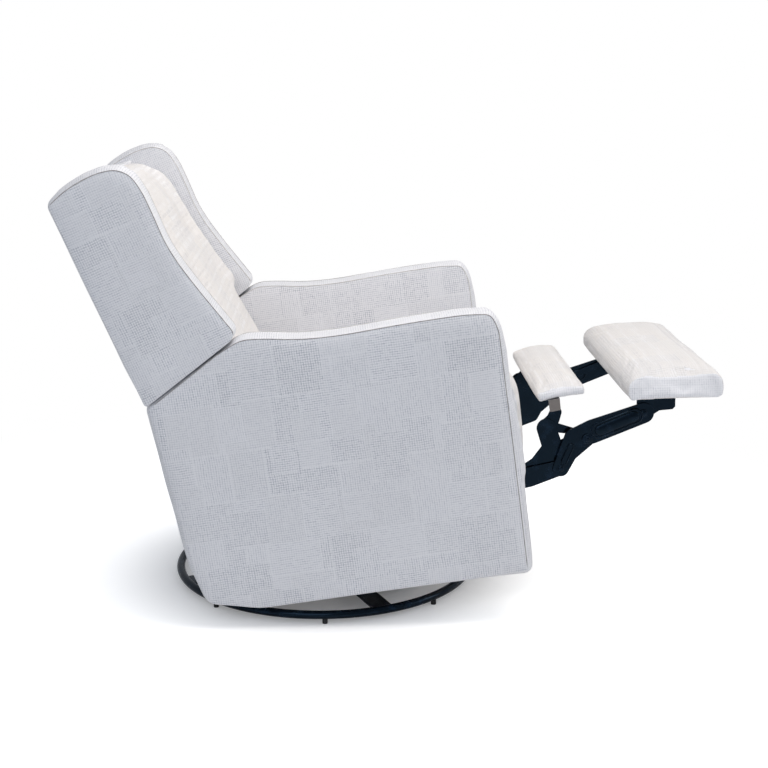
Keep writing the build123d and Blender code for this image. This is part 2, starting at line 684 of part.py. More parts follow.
def zigzag_spring(x):
    """A sinuous seat wire at x, from the rear rail to the front rail, just above them."""
    start = SEAT_RAIL_REAR + RAIL_WIDTH / 2
    step = (SEAT_RAIL_FRONT + FRONT_RAIL_DEPTH / 2 - start) / (SPRING_TURNS + 1)
    path = [(0, start)]
    for turn_number in range(SPRING_TURNS):
        reach = SPRING_WAVE if turn_number % 2 else -SPRING_WAVE
        ahead = start + step * (turn_number + 0.5)
        path += [(reach, ahead), (reach, ahead + step)]
    path = path[:-1] + [(path[-2][0], start + step * SPRING_TURNS), (0, start + step * SPRING_TURNS)]
    path += [(0, start + step * (SPRING_TURNS + 1))]
    seat = side(x)
    top = Plane(
        origin=seat.from_local_coords((0, RAIL_TOP + SPRING_WIRE, 0)),
        x_dir=(1, 0, 0),
        z_dir=seat.y_dir,
    )
    with BuildPart() as wire:
        with BuildLine(top) as route:
            FilletPolyline(*[(across_, -ahead) for across_, ahead in path], radius=step * 0.3)
        with BuildSketch(Plane(route.line @ 0, z_dir=route.line % 0)):
            Circle(SPRING_WIRE)
        sweep(path=route.line)
    return wire.part


with BuildPart() as springs:
    for number in range(SPRING_COUNT):
        add(zigzag_spring((number - (SPRING_COUNT - 1) / 2) * SPRING_PITCH))
keep(springs.part, "seat_springs")

with BuildPart() as torque_tube:
    with BuildSketch(side(0)):
        with Locations(TORQUE_TUBE_AT):
            Rectangle(TORQUE_TUBE, TORQUE_TUBE)
            Rectangle(TORQUE_TUBE - PLATE, TORQUE_TUBE - PLATE, mode=Mode.SUBTRACT)
    extrude(amount=SEAT_PLATE_INNER, both=True)
keep(torque_tube.part, "drive_torque_tube")

with BuildPart() as rollers:
    roller_start = TRACK_INNER + PLAY
    for at in ROLLERS_AT:
        with BuildSketch(side(-roller_start)):
            with Locations((at, ROLLER_HEIGHT)):
                Circle(ROLLER_RADIUS)
        extrude(amount=ROLLER_WIDTH)
        with BuildSketch(side(-(SEAT_PLATE_OUTER + RAIL_WIDTH))):
            with Locations((at, ROLLER_HEIGHT)):
                Circle(ROLLER_RADIUS / 3)
        extrude(amount=roller_start - SEAT_PLATE_OUTER - RAIL_WIDTH)
keep(both_sides(rollers.part), "seat_rollers")

CUSHION_BOTTOM = RAIL_TOP + 2 * SPRING_WIRE + PLAY


def seat_section(x, fullness):
    """The seat cushion's side outline at x: fullness 1 is its crown, 0 its drawn-in end."""
    nose, top, rear = (
        edge + way * drawn * (1 - fullness)
        for edge, way, drawn in zip((CUSHION_NOSE, CUSHION_TOP, CUSHION_REAR), (-1, -1, 1), CUSHION_DRAWN)
    )
    crown = CUSHION_CROWN * fullness
    lip_back = SEAT_RAIL_FRONT + FRONT_RAIL_DEPTH + PLAY
    rear_lip = (rear, top - 10.0)
    brow = (nose - CUSHION_BROW, top)
    shin = (nose - 6.0, CUSHION_LIP + 2.0)
    with BuildSketch(side(x)) as section:
        with BuildLine():
            Polyline(
                rear_lip, (rear, CUSHION_BOTTOM), (lip_back, CUSHION_BOTTOM), (lip_back, CUSHION_LIP), shin
            )
            Spline(shin, (nose, CUSHION_LIP + 60.0), (nose, top - 62.0), (nose - 12.0, top - 20.0), brow)
            Spline(brow, ((rear + brow[0]) / 2, top + crown), rear_lip)
        make_face()
    return section.sketch


ACROSS = ((1.0, 0.0), (0.0, 1.0), (-1.0, 0.0))  # share of the half width, and fullness there
with BuildPart() as seat_cushion:
    loft(sections=[seat_section(share * (SEAT_HALF - 1), full) for share, full in ACROSS])
keep(seat_cushion.part, "seat_cushion")

# ================================================================== back
BRACKET_INNER = SEAT_PLATE_OUTER + PLAY
POST_IN = BRACKET_INNER + PLATE
POST_DEPTHS = (BACK_PANEL + PLAY, BACK_PANEL + PLAY + BACK_POST_DEPTH)
POST_FOOT_V = -BACK_DROP + 20.0
bracket = strap(
    BRACKET_INNER,
    PLATE,
    [HINGE] + [from_back(point) for point in BACK_BRACKET_PATH],
    BACK_BRACKET_WIDTHS,
    holes=[(HINGE, LEG_PIN + PIN_PLAY)],
)
keep_pair(bracket, "back_bracket")

back_post = bar(
    back_side,
    POST_IN,
    POST_IN + BACK_POST_WIDTH,
    box_outline((POST_DEPTHS[0], POST_FOOT_V), (POST_DEPTHS[1], BACK_CUSHION_TOP)),
)
keep(both_sides(back_post), "back_posts")
with BuildPart() as back_rails:
    for half, low in ((BRACKET_INNER, POST_FOOT_V), (POST_IN, BACK_CUSHION_TOP - BACK_RAIL_HEIGHT)):
        rail = box_outline((POST_DEPTHS[0], low), (POST_DEPTHS[1], low + BACK_RAIL_HEIGHT))
        add(across(back_side, half, rail))
keep(back_rails.part, "back_rails")

WING_INNER = ARM_INNER - 2.0
PANEL_HALF = WING_INNER - PLAY
outer_panel = across(back_side, PANEL_HALF, box_outline((0, 4.0), (BACK_PANEL, BACK_HEIGHT)))
keep(outer_panel, "back_outer_panel")
skirt_panel = across(back_side, SEAT_HALF, box_outline((0, -BACK_DROP), (BACK_PANEL, 2.0)))
keep(skirt_panel, "back_skirt_panel")


def wing_section(x, crown):
    """The wing's side outline at x, its front and top swollen by this share of the crown."""
    swell = crown * WING_CROWN
    top = [(w, BACK_HEIGHT + v + swell) for w, v in WING_TOP]
    front = [(w + swell, v) for w, v in steps_from((0, BACK_HEIGHT), WING_BROW) + WING_FRONT]
    toe = [(w + swell, v) for w, v in WING_TOE[:-1]] + WING_TOE[-1:]
    with BuildSketch(back_side(x)) as section:
        with BuildLine():
            Polyline(WING_TOE[-1], (0, WING_GAP), (0, BACK_HEIGHT))
            Spline((0, BACK_HEIGHT), *top, *front, *toe)
        make_face()
    return section.sketch


with BuildPart() as wing:
    middle = (HALF_WIDTH + WING_INNER) / 2
    loft(sections=[wing_section(-WING_INNER, 0), wing_section(-middle, 1), wing_section(-HALF_WIDTH, 0)])
keep_pair(wing.part, "wing")


def back_section(x, fullness):
    """The back cushion's side outline at x: fullness 1 is its crown, 0 its drawn-in side."""
    swell = BACK_CUSHION_CROWN * (fullness - 1)
    front = [(w + swell, v) for w, v in [BACK_CUSHION_BROW] + BACK_CUSHION_BELLY]
    top = BACK_CUSHION_TOP + BACK_TOP_CROWN * fullness
    bottom = -BACK_DROP + 4.0
    low_front, top_rear = (front[-1][0] - 14.0, bottom), (BACK_CUSHION_REAR, top - 6.0)
    with BuildSketch(back_side(x)) as section:
        with BuildLine():
            Polyline(low_front, (BACK_CUSHION_REAR, bottom), top_rear)
            Spline(
                top_rear,
                (BACK_CUSHION_REAR + 40.0, top),
                (front[0][0] - 18.0, top - 22.0),
                *front,
                low_front,
            )
        make_face()
    return section.sketch


with BuildPart() as back_cushion:
    loft(sections=[back_section(share * SEAT_HALF, full) for share, full in ACROSS])
keep(back_cushion.part, "back_cushion")

# ================================================================== leg rest linkage
CONTROL_JOINT = shift(CROSS_JOINT, polar(CONTROL_ARM, CONTROL_ANGLE))
CONTROL_END = shift(FOOT_JOINT, polar(FOOT_ARM, FOOT_ANGLE))
LONG_OUTER = LONG_LAYER + LONG_STRAP

lower_link = strap(
    LOWER_LAYER,
    STRAP,
    [LOWER_PIVOT] + steps_from(LOWER_PIVOT, LOWER_KNEES) + [LOWER_JOINT],
    LOWER_WIDTHS,
    holes=[(LOWER_PIVOT, LEG_PIN + PIN_PLAY)],
)
keep_pair(lower_link, "lower_link")

with BuildPart() as upper_link:
    upper_path = [UPPER_PIVOT] + steps_from(UPPER_PIVOT, UPPER_KNEES)
    fork = upper_path[-1]
    with BuildSketch(side(-UPPER_LAYER)):
        strap_outline(upper_path, UPPER_WIDTHS)
        strap_outline([fork, shift(UPPER_PIVOT, FLIPPER_KNEE), FLIPPER_JOINT], FLIPPER_WIDTHS)
        strap_outline([fork, shift(UPPER_PIVOT, CROSS_KNEE), CROSS_JOINT], CROSS_WIDTHS)
        strap_outline([CROSS_JOINT, CONTROL_JOINT], [CROSS_WIDTHS[-1], 1.25 * CONTROL_WIDTH])
        with Locations(UPPER_PIVOT):
            Circle(LEG_PIN + PIN_PLAY, mode=Mode.SUBTRACT)
    extrude(amount=STRAP)
    pins = (
        (FLIPPER_JOINT, LEG_PIN, FLIPPER_LAYER, UPPER_LAYER),
        (CROSS_JOINT, LEG_PIN, UPPER_LAYER, LONG_OUTER + PLAY),
        (CROSS_JOINT, RIVET_HEAD, LONG_OUTER + PLAY, LONG_OUTER + PLAY + RIVET_HEIGHT),
        (CONTROL_JOINT, CONTROL_PIN, UPPER_LAYER, CONTROL_LAYER + STRAP),
    )
    for point, radius, start, end in pins:
        with BuildSketch(side(-start)):
            with Locations(point):
                Circle(radius)
        extrude(amount=end - start)
keep_pair(upper_link.part, "upper_link")

with BuildPart() as long_link:
    with BuildSketch(side(-LONG_LAYER)):
        strap_outline([LOWER_JOINT] + steps_from(CROSS_JOINT, LONG_KNEES) + [FOOT_JOINT], LONG_WIDTHS)
        with Locations(CROSS_JOINT):
            Circle(LEG_PIN + PIN_PLAY, mode=Mode.SUBTRACT)
    extrude(amount=LONG_STRAP)
    with BuildSketch(side(-LONG_OUTER)):
        strap_outline(steps_from(FOOT_JOINT, LONG_RIB_ENDS), [LONG_RIB_WIDTH, LONG_RIB_WIDTH])
        strap_outline(steps_from(LOWER_JOINT, SHORT_RIB_ENDS), [SHORT_RIB_WIDTH, SHORT_RIB_WIDTH])
    extrude(amount=LONG_RIB)
    with BuildSketch(side(-LONG_OUTER)):
        for point in (LOWER_JOINT, FOOT_JOINT):
            with Locations(point):
                Circle(RIVET_HEAD)
    extrude(amount=RIVET_HEIGHT)
    with BuildSketch(side(-LOWER_LAYER)):
        with Locations(FOOT_JOINT):
            Circle(LEG_PIN)
    extrude(amount=LONG_LAYER - LOWER_LAYER)
keep_pair(long_link.part, "long_link")

control_link = strap(
    CONTROL_LAYER,
    STRAP,
    [CONTROL_JOINT, CONTROL_END],
    [CONTROL_WIDTH, CONTROL_WIDTH],
    holes=[(CONTROL_JOINT, CONTROL_PIN + PIN_PLAY)],
    pins=[(CONTROL_END, CONTROL_PIN + 1.0, CONTROL_LAYER - RIVET_HEIGHT, CONTROL_LAYER)],
)
keep(both_sides(control_link), "control_links")

# ================================================================== large pad and its board
BRACKET_TOP = -FOOT_PAD_THICKNESS
BOARD_ENDS = (16.0, FOOT_PAD_LENGTH - 30.0)
foot_board = across(
    foot_side,
    FOOT_PAD_HALF - FOOT_BOARD_INSET,
    box_outline((BOARD_ENDS[0], BRACKET_TOP), (BOARD_ENDS[1], BRACKET_TOP + FOOT_BOARD)),
)
keep(foot_board, "footrest_board")


def foot_local(point):
    """A point of the chair body's view in the large pad's own view."""
    return turn((point[0] - FOOT_PAD_AT[0], point[1] - FOOT_PAD_AT[1]), -FOOT_PAD_PITCH)


JOINT_LOCAL = foot_local(FOOT_JOINT)
rim = steps_from(JOINT_LOCAL, FOOT_BRACKET_RIM)
with BuildPart() as foot_bracket:
    with BuildSketch(foot_side(-LOWER_LAYER)):
        with BuildLine():
            Polyline(
                (rim[0][0], BRACKET_TOP),
                *rim,
                (rim[-1][0], BRACKET_TOP),
                close=True,
            )
        make_face()
        with Locations(JOINT_LOCAL):
            Circle(FOOT_BRACKET_EYE)
            Circle(LEG_PIN + PIN_PLAY, mode=Mode.SUBTRACT)
    extrude(amount=STRAP)
    tab_start, tab_end = (JOINT_LOCAL[0] + reach for reach in FOOT_TAB_AT)
    with BuildSketch(foot_side(-LOWER_LAYER + FOOT_TAB)):
        with BuildLine():
            Polyline(*box_outline((tab_start, BRACKET_TOP - STRAP), (tab_end, BRACKET_TOP)), close=True)
        make_face()
    extrude(amount=FOOT_TAB)
keep_pair(foot_bracket.part, "footrest_bracket")


def foot_section(x, fullness):
    """The large pad's side outline at x: a rounded nose, and a crown on top."""
    crown = FOOT_PAD_CROWN * fullness
    base = -FOOT_PAD_THICKNESS
    nose = FOOT_PAD_LENGTH - 6.0 * (1 - fullness)
    with BuildSketch(foot_side(x)) as section:
        with BuildLine():
            Polyline((4.0, base), (0, base + 8.0), (0, -12.0))
            ThreePointArc((0, -12.0), (4.0, -4.0), (12.0, 0))
            Spline((12.0, 0), (nose / 2, crown), (nose - 22.0, 0))
            ThreePointArc((nose - 22.0, 0), (nose - 6.0, -7.0), (nose, -20.0))
            ThreePointArc((nose, -20.0), (nose - 3.5, base + 13.0), (nose - 16.0, base + 2.0))
            Polyline((nose - 16.0, base + 2.0), (BOARD_ENDS[1] + 4.0, base), (4.0, base))
        make_face()
    return section.sketch


with BuildPart() as foot_pad:
    loft(sections=[foot_section(share * FOOT_PAD_HALF, full) for share, full in ACROSS])
    add(foot_board, mode=Mode.SUBTRACT)
keep(foot_pad.part, "footrest_pad")

# ================================================================== small pad
FLIPPER_SEAT = -FLIPPER_THICKNESS  # underside of its board
flipper_board = across(
    flip_side,
    FLIPPER_HALF - FOOT_BOARD,
    box_outline((FLIPPER_BOARD_ENDS[0], FLIPPER_SEAT), (FLIPPER_BOARD_ENDS[1], FLIPPER_SEAT + FLIPPER_BOARD)),
)
keep(flipper_board, "flipper_board")


def flipper_section(x, fullness):
    """The small pad's side outline at x: a low crown between round edges."""
    base = -FLIPPER_THICKNESS
    end = FLIPPER_LENGTH
    with BuildSketch(flip_side(x)) as section:
        with BuildLine():
            Line((5.0, base), (0, base + 5.0))
            ThreePointArc((0, base + 5.0), (2.0, -5.0), (8.0, 0))
            Spline((8.0, 0), (end / 2, FLIPPER_CROWN * fullness), (end - 8.0, 0))
            ThreePointArc((end - 8.0, 0), (end - 2.0, -5.0), (end, base + 5.0))
            Polyline((end, base + 5.0), (end - 5.0, base), (5.0, base))
        make_face()
    return section.sketch


with BuildPart() as flipper_pad:
    loft(sections=[flipper_section(share * FLIPPER_HALF, full) for share, full in ACROSS])
    add(flipper_board, mode=Mode.SUBTRACT)
keep(flipper_pad.part, "flipper_pad")

FLIPPER_NECK = [
    shift(FLIPPER_AT, turn((reach, FLIPPER_SEAT), FLIPPER_PITCH)) for reach in FLIPPER_TAB_AT[::-1]
]
with BuildPart() as flipper_bracket:
    with BuildSketch(side(-FLIPPER_LAYER)):
        strap_outline([FLIPPER_JOINT] + steps_from(FLIPPER_JOINT, FLIPPER_STEM), FLIPPER_STEM_WIDTHS)
        with BuildLine():
            Polyline(*steps_from(FLIPPER_JOINT, [(13.0, 29.0), (37.0, 29.0)]), *FLIPPER_NECK, close=True)
        make_face()
        strap_outline(steps_from(FLIPPER_JOINT, FLIPPER_STOP), [24.0, 14.0])
        with Locations(FLIPPER_JOINT):
            Circle(LEG_PIN + PIN_PLAY, mode=Mode.SUBTRACT)
    extrude(amount=STRAP)
    with BuildSketch(flip_side(-FLIPPER_LAYER + FLIPPER_TAB)):
        with BuildLine():
            Polyline(
                *box_outline((FLIPPER_TAB_AT[0], FLIPPER_SEAT - STRAP), (FLIPPER_TAB_AT[1], FLIPPER_SEAT)),
                close=True,
            )
        make_face()
    extrude(amount=FLIPPER_TAB)
keep_pair(flipper_bracket.part, "flipper_bracket")
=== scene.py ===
"""Looks of a swivel glider recliner with its leg rest out.

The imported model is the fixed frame.  Covers, cushions, pads, seams and rivets are built here around
it, each on the body that carries it, and every CAD piece that stays gets its finish.

Lengths are metres and angles degrees.  A side view has (forward, up) points: forward is the way the
chair faces, which is -Y, and across is X, with the sitter's right at -X.
"""

from __future__ import annotations

import json
import logging
import math
from dataclasses import dataclass, field
from enum import Enum
from typing import Sequence

import bmesh
import bpy
import numpy as np
from mathutils import Matrix, Vector

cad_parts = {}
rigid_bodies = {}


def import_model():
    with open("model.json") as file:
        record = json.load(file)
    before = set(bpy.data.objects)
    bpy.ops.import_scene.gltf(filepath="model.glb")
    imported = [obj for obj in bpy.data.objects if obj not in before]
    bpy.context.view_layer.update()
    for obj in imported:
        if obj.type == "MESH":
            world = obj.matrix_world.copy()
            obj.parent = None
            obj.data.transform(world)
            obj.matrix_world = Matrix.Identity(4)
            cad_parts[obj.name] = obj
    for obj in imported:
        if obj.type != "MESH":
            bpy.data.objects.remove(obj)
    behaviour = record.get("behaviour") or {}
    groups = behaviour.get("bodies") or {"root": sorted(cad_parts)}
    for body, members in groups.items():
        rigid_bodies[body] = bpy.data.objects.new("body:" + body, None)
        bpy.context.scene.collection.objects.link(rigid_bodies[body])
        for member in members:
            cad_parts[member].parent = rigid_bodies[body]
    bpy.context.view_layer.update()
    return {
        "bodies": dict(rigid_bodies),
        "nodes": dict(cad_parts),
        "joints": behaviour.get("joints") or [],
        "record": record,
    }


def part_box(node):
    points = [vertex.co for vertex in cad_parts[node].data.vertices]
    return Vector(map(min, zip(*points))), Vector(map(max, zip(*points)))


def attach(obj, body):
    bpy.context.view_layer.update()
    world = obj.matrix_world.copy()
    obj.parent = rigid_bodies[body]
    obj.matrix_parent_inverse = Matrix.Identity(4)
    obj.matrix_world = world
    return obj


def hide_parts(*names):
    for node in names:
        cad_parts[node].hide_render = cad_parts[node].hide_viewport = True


Array = np.ndarray
Piece = bpy.types.Object
Material = bpy.types.Material
Socket = bpy.types.NodeSocket
Point = tuple[float, float]
Colour = tuple[float, float, float, float]

LOG = logging.getLogger("recliner")
CLOTH_MAP = "Cloth"
# In the cloth map the strips are moved along by the first of these.  The side panels are moved up by
# the second, or down by it on the chair's right.
STRIP_SHIFT = 3.0
SIDE_SHIFT = 7.0
# Mirrors a point to the other side of the chair.
MIRROR = np.array([-1.0, 1.0, 1.0])


# ---------------------------------------------------------------------------------- side views


@dataclass(frozen=True)
class SideView:
    """A side view of the chair, with its own origin and pitch over the level view.

    Attributes:
        swivel_y: Y of the swivel axis, where the level view has forward 0.
        origin: the view's own origin, as (forward, up) of the level view.
        pitch: degrees the view's forward axis points up.
    """

    swivel_y: float
    origin: Point = (0.0, 0.0)
    pitch: float = 0.0

    def axes(self) -> tuple[Array, Array]:
        """The view's forward and up directions in the chair's own frame."""
        a = math.radians(self.pitch)
        return np.array([0, -math.cos(a), math.sin(a)]), np.array([0, math.sin(a), math.cos(a)])

    def start(self) -> Array:
        """The view's origin in the chair's own frame, at X 0."""
        return np.array([0, self.swivel_y - self.origin[0], self.origin[1]])

    def place(self, forward: Array, up: Array, across: Array) -> Array:
        """Puts view points into the chair's frame.

        Args:
            forward: forward distances, any shape.
            up: heights of the same shape.
            across: X of the same shape, or one number.

        Returns:
            An array of that shape with a last axis of X, Y, Z.
        """
        ahead, lift = self.axes()
        points = self.start() + np.asarray(forward)[..., None] * ahead + np.asarray(up)[..., None] * lift
        points[..., 0] = across
        return points

    def measure(self, points: Array) -> tuple[Array, Array]:
        """Measures points of the chair's frame in this view.

        Args:
            points: rows of X, Y, Z.

        Returns:
            Their forward distances and their heights.
        """
        ahead, lift = self.axes()
        rel = points - self.start()
        return rel @ ahead, rel @ lift

    def inner(self, origin: Point, pitch: float) -> SideView:
        """A view placed and pitched within this one."""
        point = self.place(np.array(origin[0]), np.array(origin[1]), 0.0)
        return SideView(self.swivel_y, (self.swivel_y - point[1], point[2]), self.pitch + pitch)


@dataclass(frozen=True)
class Corner:
    """A corner of a soft outline.

    Attributes:
        forward: forward distance.
        up: height.
        reach: how far from the corner its round begins.
        crown: how far the cloth around the outline swells out of it here.
    """

    forward: float
    up: float
    reach: float
    crown: float = 0.0


class Outline:
    """A closed outline whose corners are cut round.

    Each corner is a quadratic curve from reach before it to reach after it, and straight runs join
    the curves.  The crown goes in even steps from one corner to the next.

    Attributes:
        points: its samples.
        crown: the crown at each of them.
        normals: the unit direction out of the outline at each of them.
        run: the length along the outline to each of them.
        total: the whole length.
    """

    def __init__(self, corners: Sequence[Corner], spacing: float) -> None:
        """Samples the outline.

        Args:
            corners: the corners in order round the outline.
            spacing: the longest step along a straight run.
        """
        at = np.array([(c.forward, c.up) for c in corners])
        ahead = np.roll(at, -1, axis=0) - at
        length = np.hypot(*ahead.T)
        unit = ahead / length[:, None]
        limit = 0.48 * np.minimum(length, np.roll(length, 1))
        reach = np.minimum([c.reach for c in corners], limit)
        rows: list[Array] = []
        for i, corner in enumerate(corners):
            start, end = at[i] - unit[i - 1] * reach[i], at[i] + unit[i] * reach[i]
            t = np.linspace(0, 1, max(4, int(2.2 * reach[i] / spacing) + 4))[:, None]
            bend = (1 - t) ** 2 * start + 2 * t * (1 - t) * at[i] + t**2 * end
            rows.append(np.hstack([bend, np.full((len(t), 1), corner.crown)]))
            nxt = (i + 1) % len(corners)
            run = length[i] - reach[i] - reach[nxt]
            steps = int(run / spacing)
            if steps > 1:
                s = np.arange(1, steps)[:, None] / steps
                line = end + s * run * unit[i]
                rows.append(np.hstack([line, corner.crown + s * (corners[nxt].crown - corner.crown)]))
        table = np.vstack(rows)
        keep = np.hypot(*(table[:, :2] - np.roll(table[:, :2], 1, axis=0)).T) > 1e-5
        self.points = table[keep, :2]
        self.crown = smooth_ring(table[keep, 2], 3)
        after = np.roll(self.points, -1, axis=0)
        step = after - np.roll(self.points, 1, axis=0)
        area = np.sum(self.points[:, 0] * after[:, 1] - after[:, 0] * self.points[:, 1])
        sign = 1.0 if area > 0 else -1.0
        self.normals = sign * np.stack([step[:, 1], -step[:, 0]], axis=1) / np.hypot(*step.T)[:, None]
        hops = np.hypot(*(after - self.points).T)
        self.run = np.concatenate([[0.0], np.cumsum(hops)[:-1]])
        self.total = float(hops.sum())

    def nearest(self, forward: Array, up: Array) -> tuple[Array, Array]:
        """Finds the sample nearest to each point.

        Args:
            forward: the points' forward distances, in one row.
            up: their heights.

        Returns:
            The distance to that sample and its index, for each point.
        """
        gap = (forward[:, None] - self.points[:, 0]) ** 2 + (up[:, None] - self.points[:, 1]) ** 2
        index = gap.argmin(axis=1)
        return np.sqrt(gap[np.arange(len(index)), index]), index

    def stretch(self, first: Point, last: Point) -> Array:
        """Picks the samples of a part of the outline.

        Args:
            first: a point near its start.
            last: a point near its end.

        Returns:
            The samples' indices, onwards round the outline.
        """
        ends = [int(np.hypot(*(self.points - np.array(p)).T).argmin()) for p in (first, last)]
        count = (ends[1] - ends[0]) % len(self.points) + 1
        return (ends[0] + np.arange(count)) % len(self.points)


def smooth_ring(values: Array, passes: int) -> Array:
    """Averages each value of a closed row with its neighbours, as often as passes says."""
    for _ in range(passes):
        values = 0.25 * np.roll(values, 1) + 0.5 * values + 0.25 * np.roll(values, -1)
    return values


def smooth_step(values: Array, low: float, high: float) -> Array:
    """s^2(3 - 2s), where s is the share of the way from low to high."""
    share = np.clip((values - low) / (high - low), 0, 1)
    return share * share * (3 - 2 * share)


def ripple(a: Array, b: Array, size: float, length: float, seed: int) -> Array:
    """Soft unevenness of stretched cloth.

    A sum of five sine waves over (a, b), with wavelengths around length and random directions.

    Args:
        a: first coordinate.
        b: second coordinate, same shape.
        size: largest height of the sum.
        length: typical wavelength.
        seed: picks the directions and phases.

    Returns:
        Heights of the same shape.
    """
    rng = np.random.default_rng(seed)
    total = np.zeros_like(np.asarray(a, float))
    waves = 5
    for _ in range(waves):
        angle, phase, stretch = rng.uniform(0, math.tau), rng.uniform(0, math.tau), rng.uniform(0.7, 1.6)
        total += np.sin((a * math.cos(angle) + b * math.sin(angle)) * math.tau / (length * stretch) + phase)
    return total * size / waves


# ---------------------------------------------------------------------------------- meshes


def make_object(name: str, points: Array, faces: Sequence[Sequence[int]], smooth: bool = True) -> Piece:
    """Makes a mesh object at the origin and links it to the scene.

    Args:
        name: its name.
        points: its vertices, in rows of X, Y, Z of any shape.
        faces: the vertex indices of each face.
        smooth: whether it is shaded smooth.

    Returns:
        The object.
    """
    mesh = bpy.data.meshes.new(name)
    mesh.from_pydata(points.reshape(-1, 3).tolist(), [], [list(f) for f in faces])
    mesh.validate(verbose=False)
    mesh.polygons.foreach_set("use_smooth", np.full(len(mesh.polygons), smooth))
    mesh.update()
    obj = bpy.data.objects.new(name, mesh)
    bpy.context.scene.collection.objects.link(obj)
    return obj


def face_outwards(obj: Piece) -> None:
    """Merges doubles and points every face of a closed mesh outwards.

    Args:
        obj: the mesh object.
    """
    work = bmesh.new()
    work.from_mesh(obj.data)
    bmesh.ops.remove_doubles(work, verts=work.verts, dist=1e-6)
    bmesh.ops.recalc_face_normals(work, faces=work.faces)
    work.to_mesh(obj.data)
    work.free()
    obj.data.update()


def grid_faces(rows: int, columns: int, wrap_rows: bool, wrap_columns: bool) -> Array:
    """Joins a grid of points by quads.

    Args:
        rows: rows of the grid.
        columns: points in each row.
        wrap_rows: whether the last row joins the first.
        wrap_columns: whether each row's last point joins its first.

    Returns:
        An array of four indices for each quad.
    """
    i = np.arange(rows if wrap_rows else rows - 1)[:, None]
    j = np.arange(columns if wrap_columns else columns - 1)[None, :]
    i2, j2 = (i + 1) % rows, (j + 1) % columns
    quads = [i * columns + j, i2 * columns + j, i2 * columns + j2, i * columns + j2]
    return np.stack(quads, axis=-1).reshape(-1, 4)


def read_rows(items: object, key: str, kind: type, width: int = 1) -> Array:
    """Reads one attribute of all items of a mesh.

    Args:
        items: the mesh's vertices, loops or polygons.
        key: the attribute's name.
        kind: the type of its numbers.
        width: how many numbers each item has.

    Returns:
        The numbers, as rows where there is more than one for each item.
    """
    found = np.empty(len(items) * width, kind)
    items.foreach_get(key, found)
    return found if width == 1 else found.reshape(-1, width)


def mesh_points(obj: Piece) -> Array:
    """The vertices of a mesh object as an array of rows."""
    return read_rows(obj.data.vertices, "co", np.float32, 3).astype(float)


def set_points(obj: Piece, points: Array) -> None:
    """Writes an array of rows into the vertices of a mesh object."""
    obj.data.vertices.foreach_set("co", points.astype(np.float32).ravel())
    obj.data.update()


def write_map(obj: Piece, u: Array, v: Array) -> None:
    """Writes the cloth map.

    Args:
        obj: the mesh object.
        u: the first length, one for each loop.
        v: the second length, one for each loop.
    """
    layer = obj.data.uv_layers.get(CLOTH_MAP) or obj.data.uv_layers.new(name=CLOTH_MAP)
    layer.data.foreach_set("uv", np.stack([u, v], axis=1).astype(np.float32).ravel())


def apply_modifiers(obj: Piece) -> None:
    """Replaces an object's mesh by what its modifiers make of it.

    Args:
        obj: the mesh object.
    """
    bpy.context.view_layer.update()
    depsgraph = bpy.context.evaluated_depsgraph_get()
    mesh = bpy.data.meshes.new_from_object(obj.evaluated_get(depsgraph))
    old = obj.data
    obj.modifiers.clear()
    obj.data = mesh
    bpy.data.meshes.remove(old)


def subdivide(obj: Piece) -> None:
    """Adds and applies one level of smooth subdivision.

    Args:
        obj: the mesh object.
    """
    modifier = obj.modifiers.new("smooth", "SUBSURF")
    modifier.levels = modifier.render_levels = 1
    apply_modifiers(obj)
    obj.data.polygons.foreach_set("use_smooth", np.full(len(obj.data.polygons), True))


def tube(name: str, path: Array, outward: Array, radius: float, closed: bool = False) -> Piece:
    """A round cord in a plane across X, with closed ends or joined into a loop.

    Each ring is path + r(cos a . outward + sin a . X), and r falls to nothing at both ends.

    Args:
        name: the piece's name.
        path: the line's points, one row each.
        outward: the unit direction in the plane, square to the line, one row each.
        radius: the cord's radius.
        closed: true where the last point joins the first.

    Returns:
        The mesh object, with lengths along it and X in its cloth map.
    """
    n, sides = len(path), 8
    angle = np.arange(sides) * math.tau / sides
    from_end = np.minimum(np.arange(n), np.arange(n)[::-1])
    taper = np.clip(from_end / 1.5 + 2.0 * closed, 0.02, 1.0)[:, None, None]
    across = np.array([1.0, 0, 0])
    ring = np.cos(angle)[None, :, None] * outward[:, None, :] + np.sin(angle)[None, :, None] * across
    points = path[:, None, :] + radius * taper * ring
    faces = grid_faces(n, sides, closed, True).tolist()
    if not closed:
        faces += [list(range(sides)), list(range((n - 1) * sides, n * sides))[::-1]]
    obj = make_object(name, points, faces)
    face_outwards(obj)
    along = np.concatenate([[0.0], np.cumsum(np.linalg.norm(np.diff(path, axis=0), axis=1))])
    at = mesh_points(obj)
    near = ((at[:, None, :] - path[None, ::2, :]) ** 2).sum(-1).argmin(1)
    loops = read_rows(obj.data.loops, "vertex_index", np.int64)
    write_map(obj, along[::2][near][loops], at[loops, 0])
    return obj


class Side(Enum):
    """The chair's two sides, with the sign of X."""

    RIGHT = -1
    LEFT = 1

    @property
    def word(self) -> str:
        """The word used in names."""
        return self.name.lower()


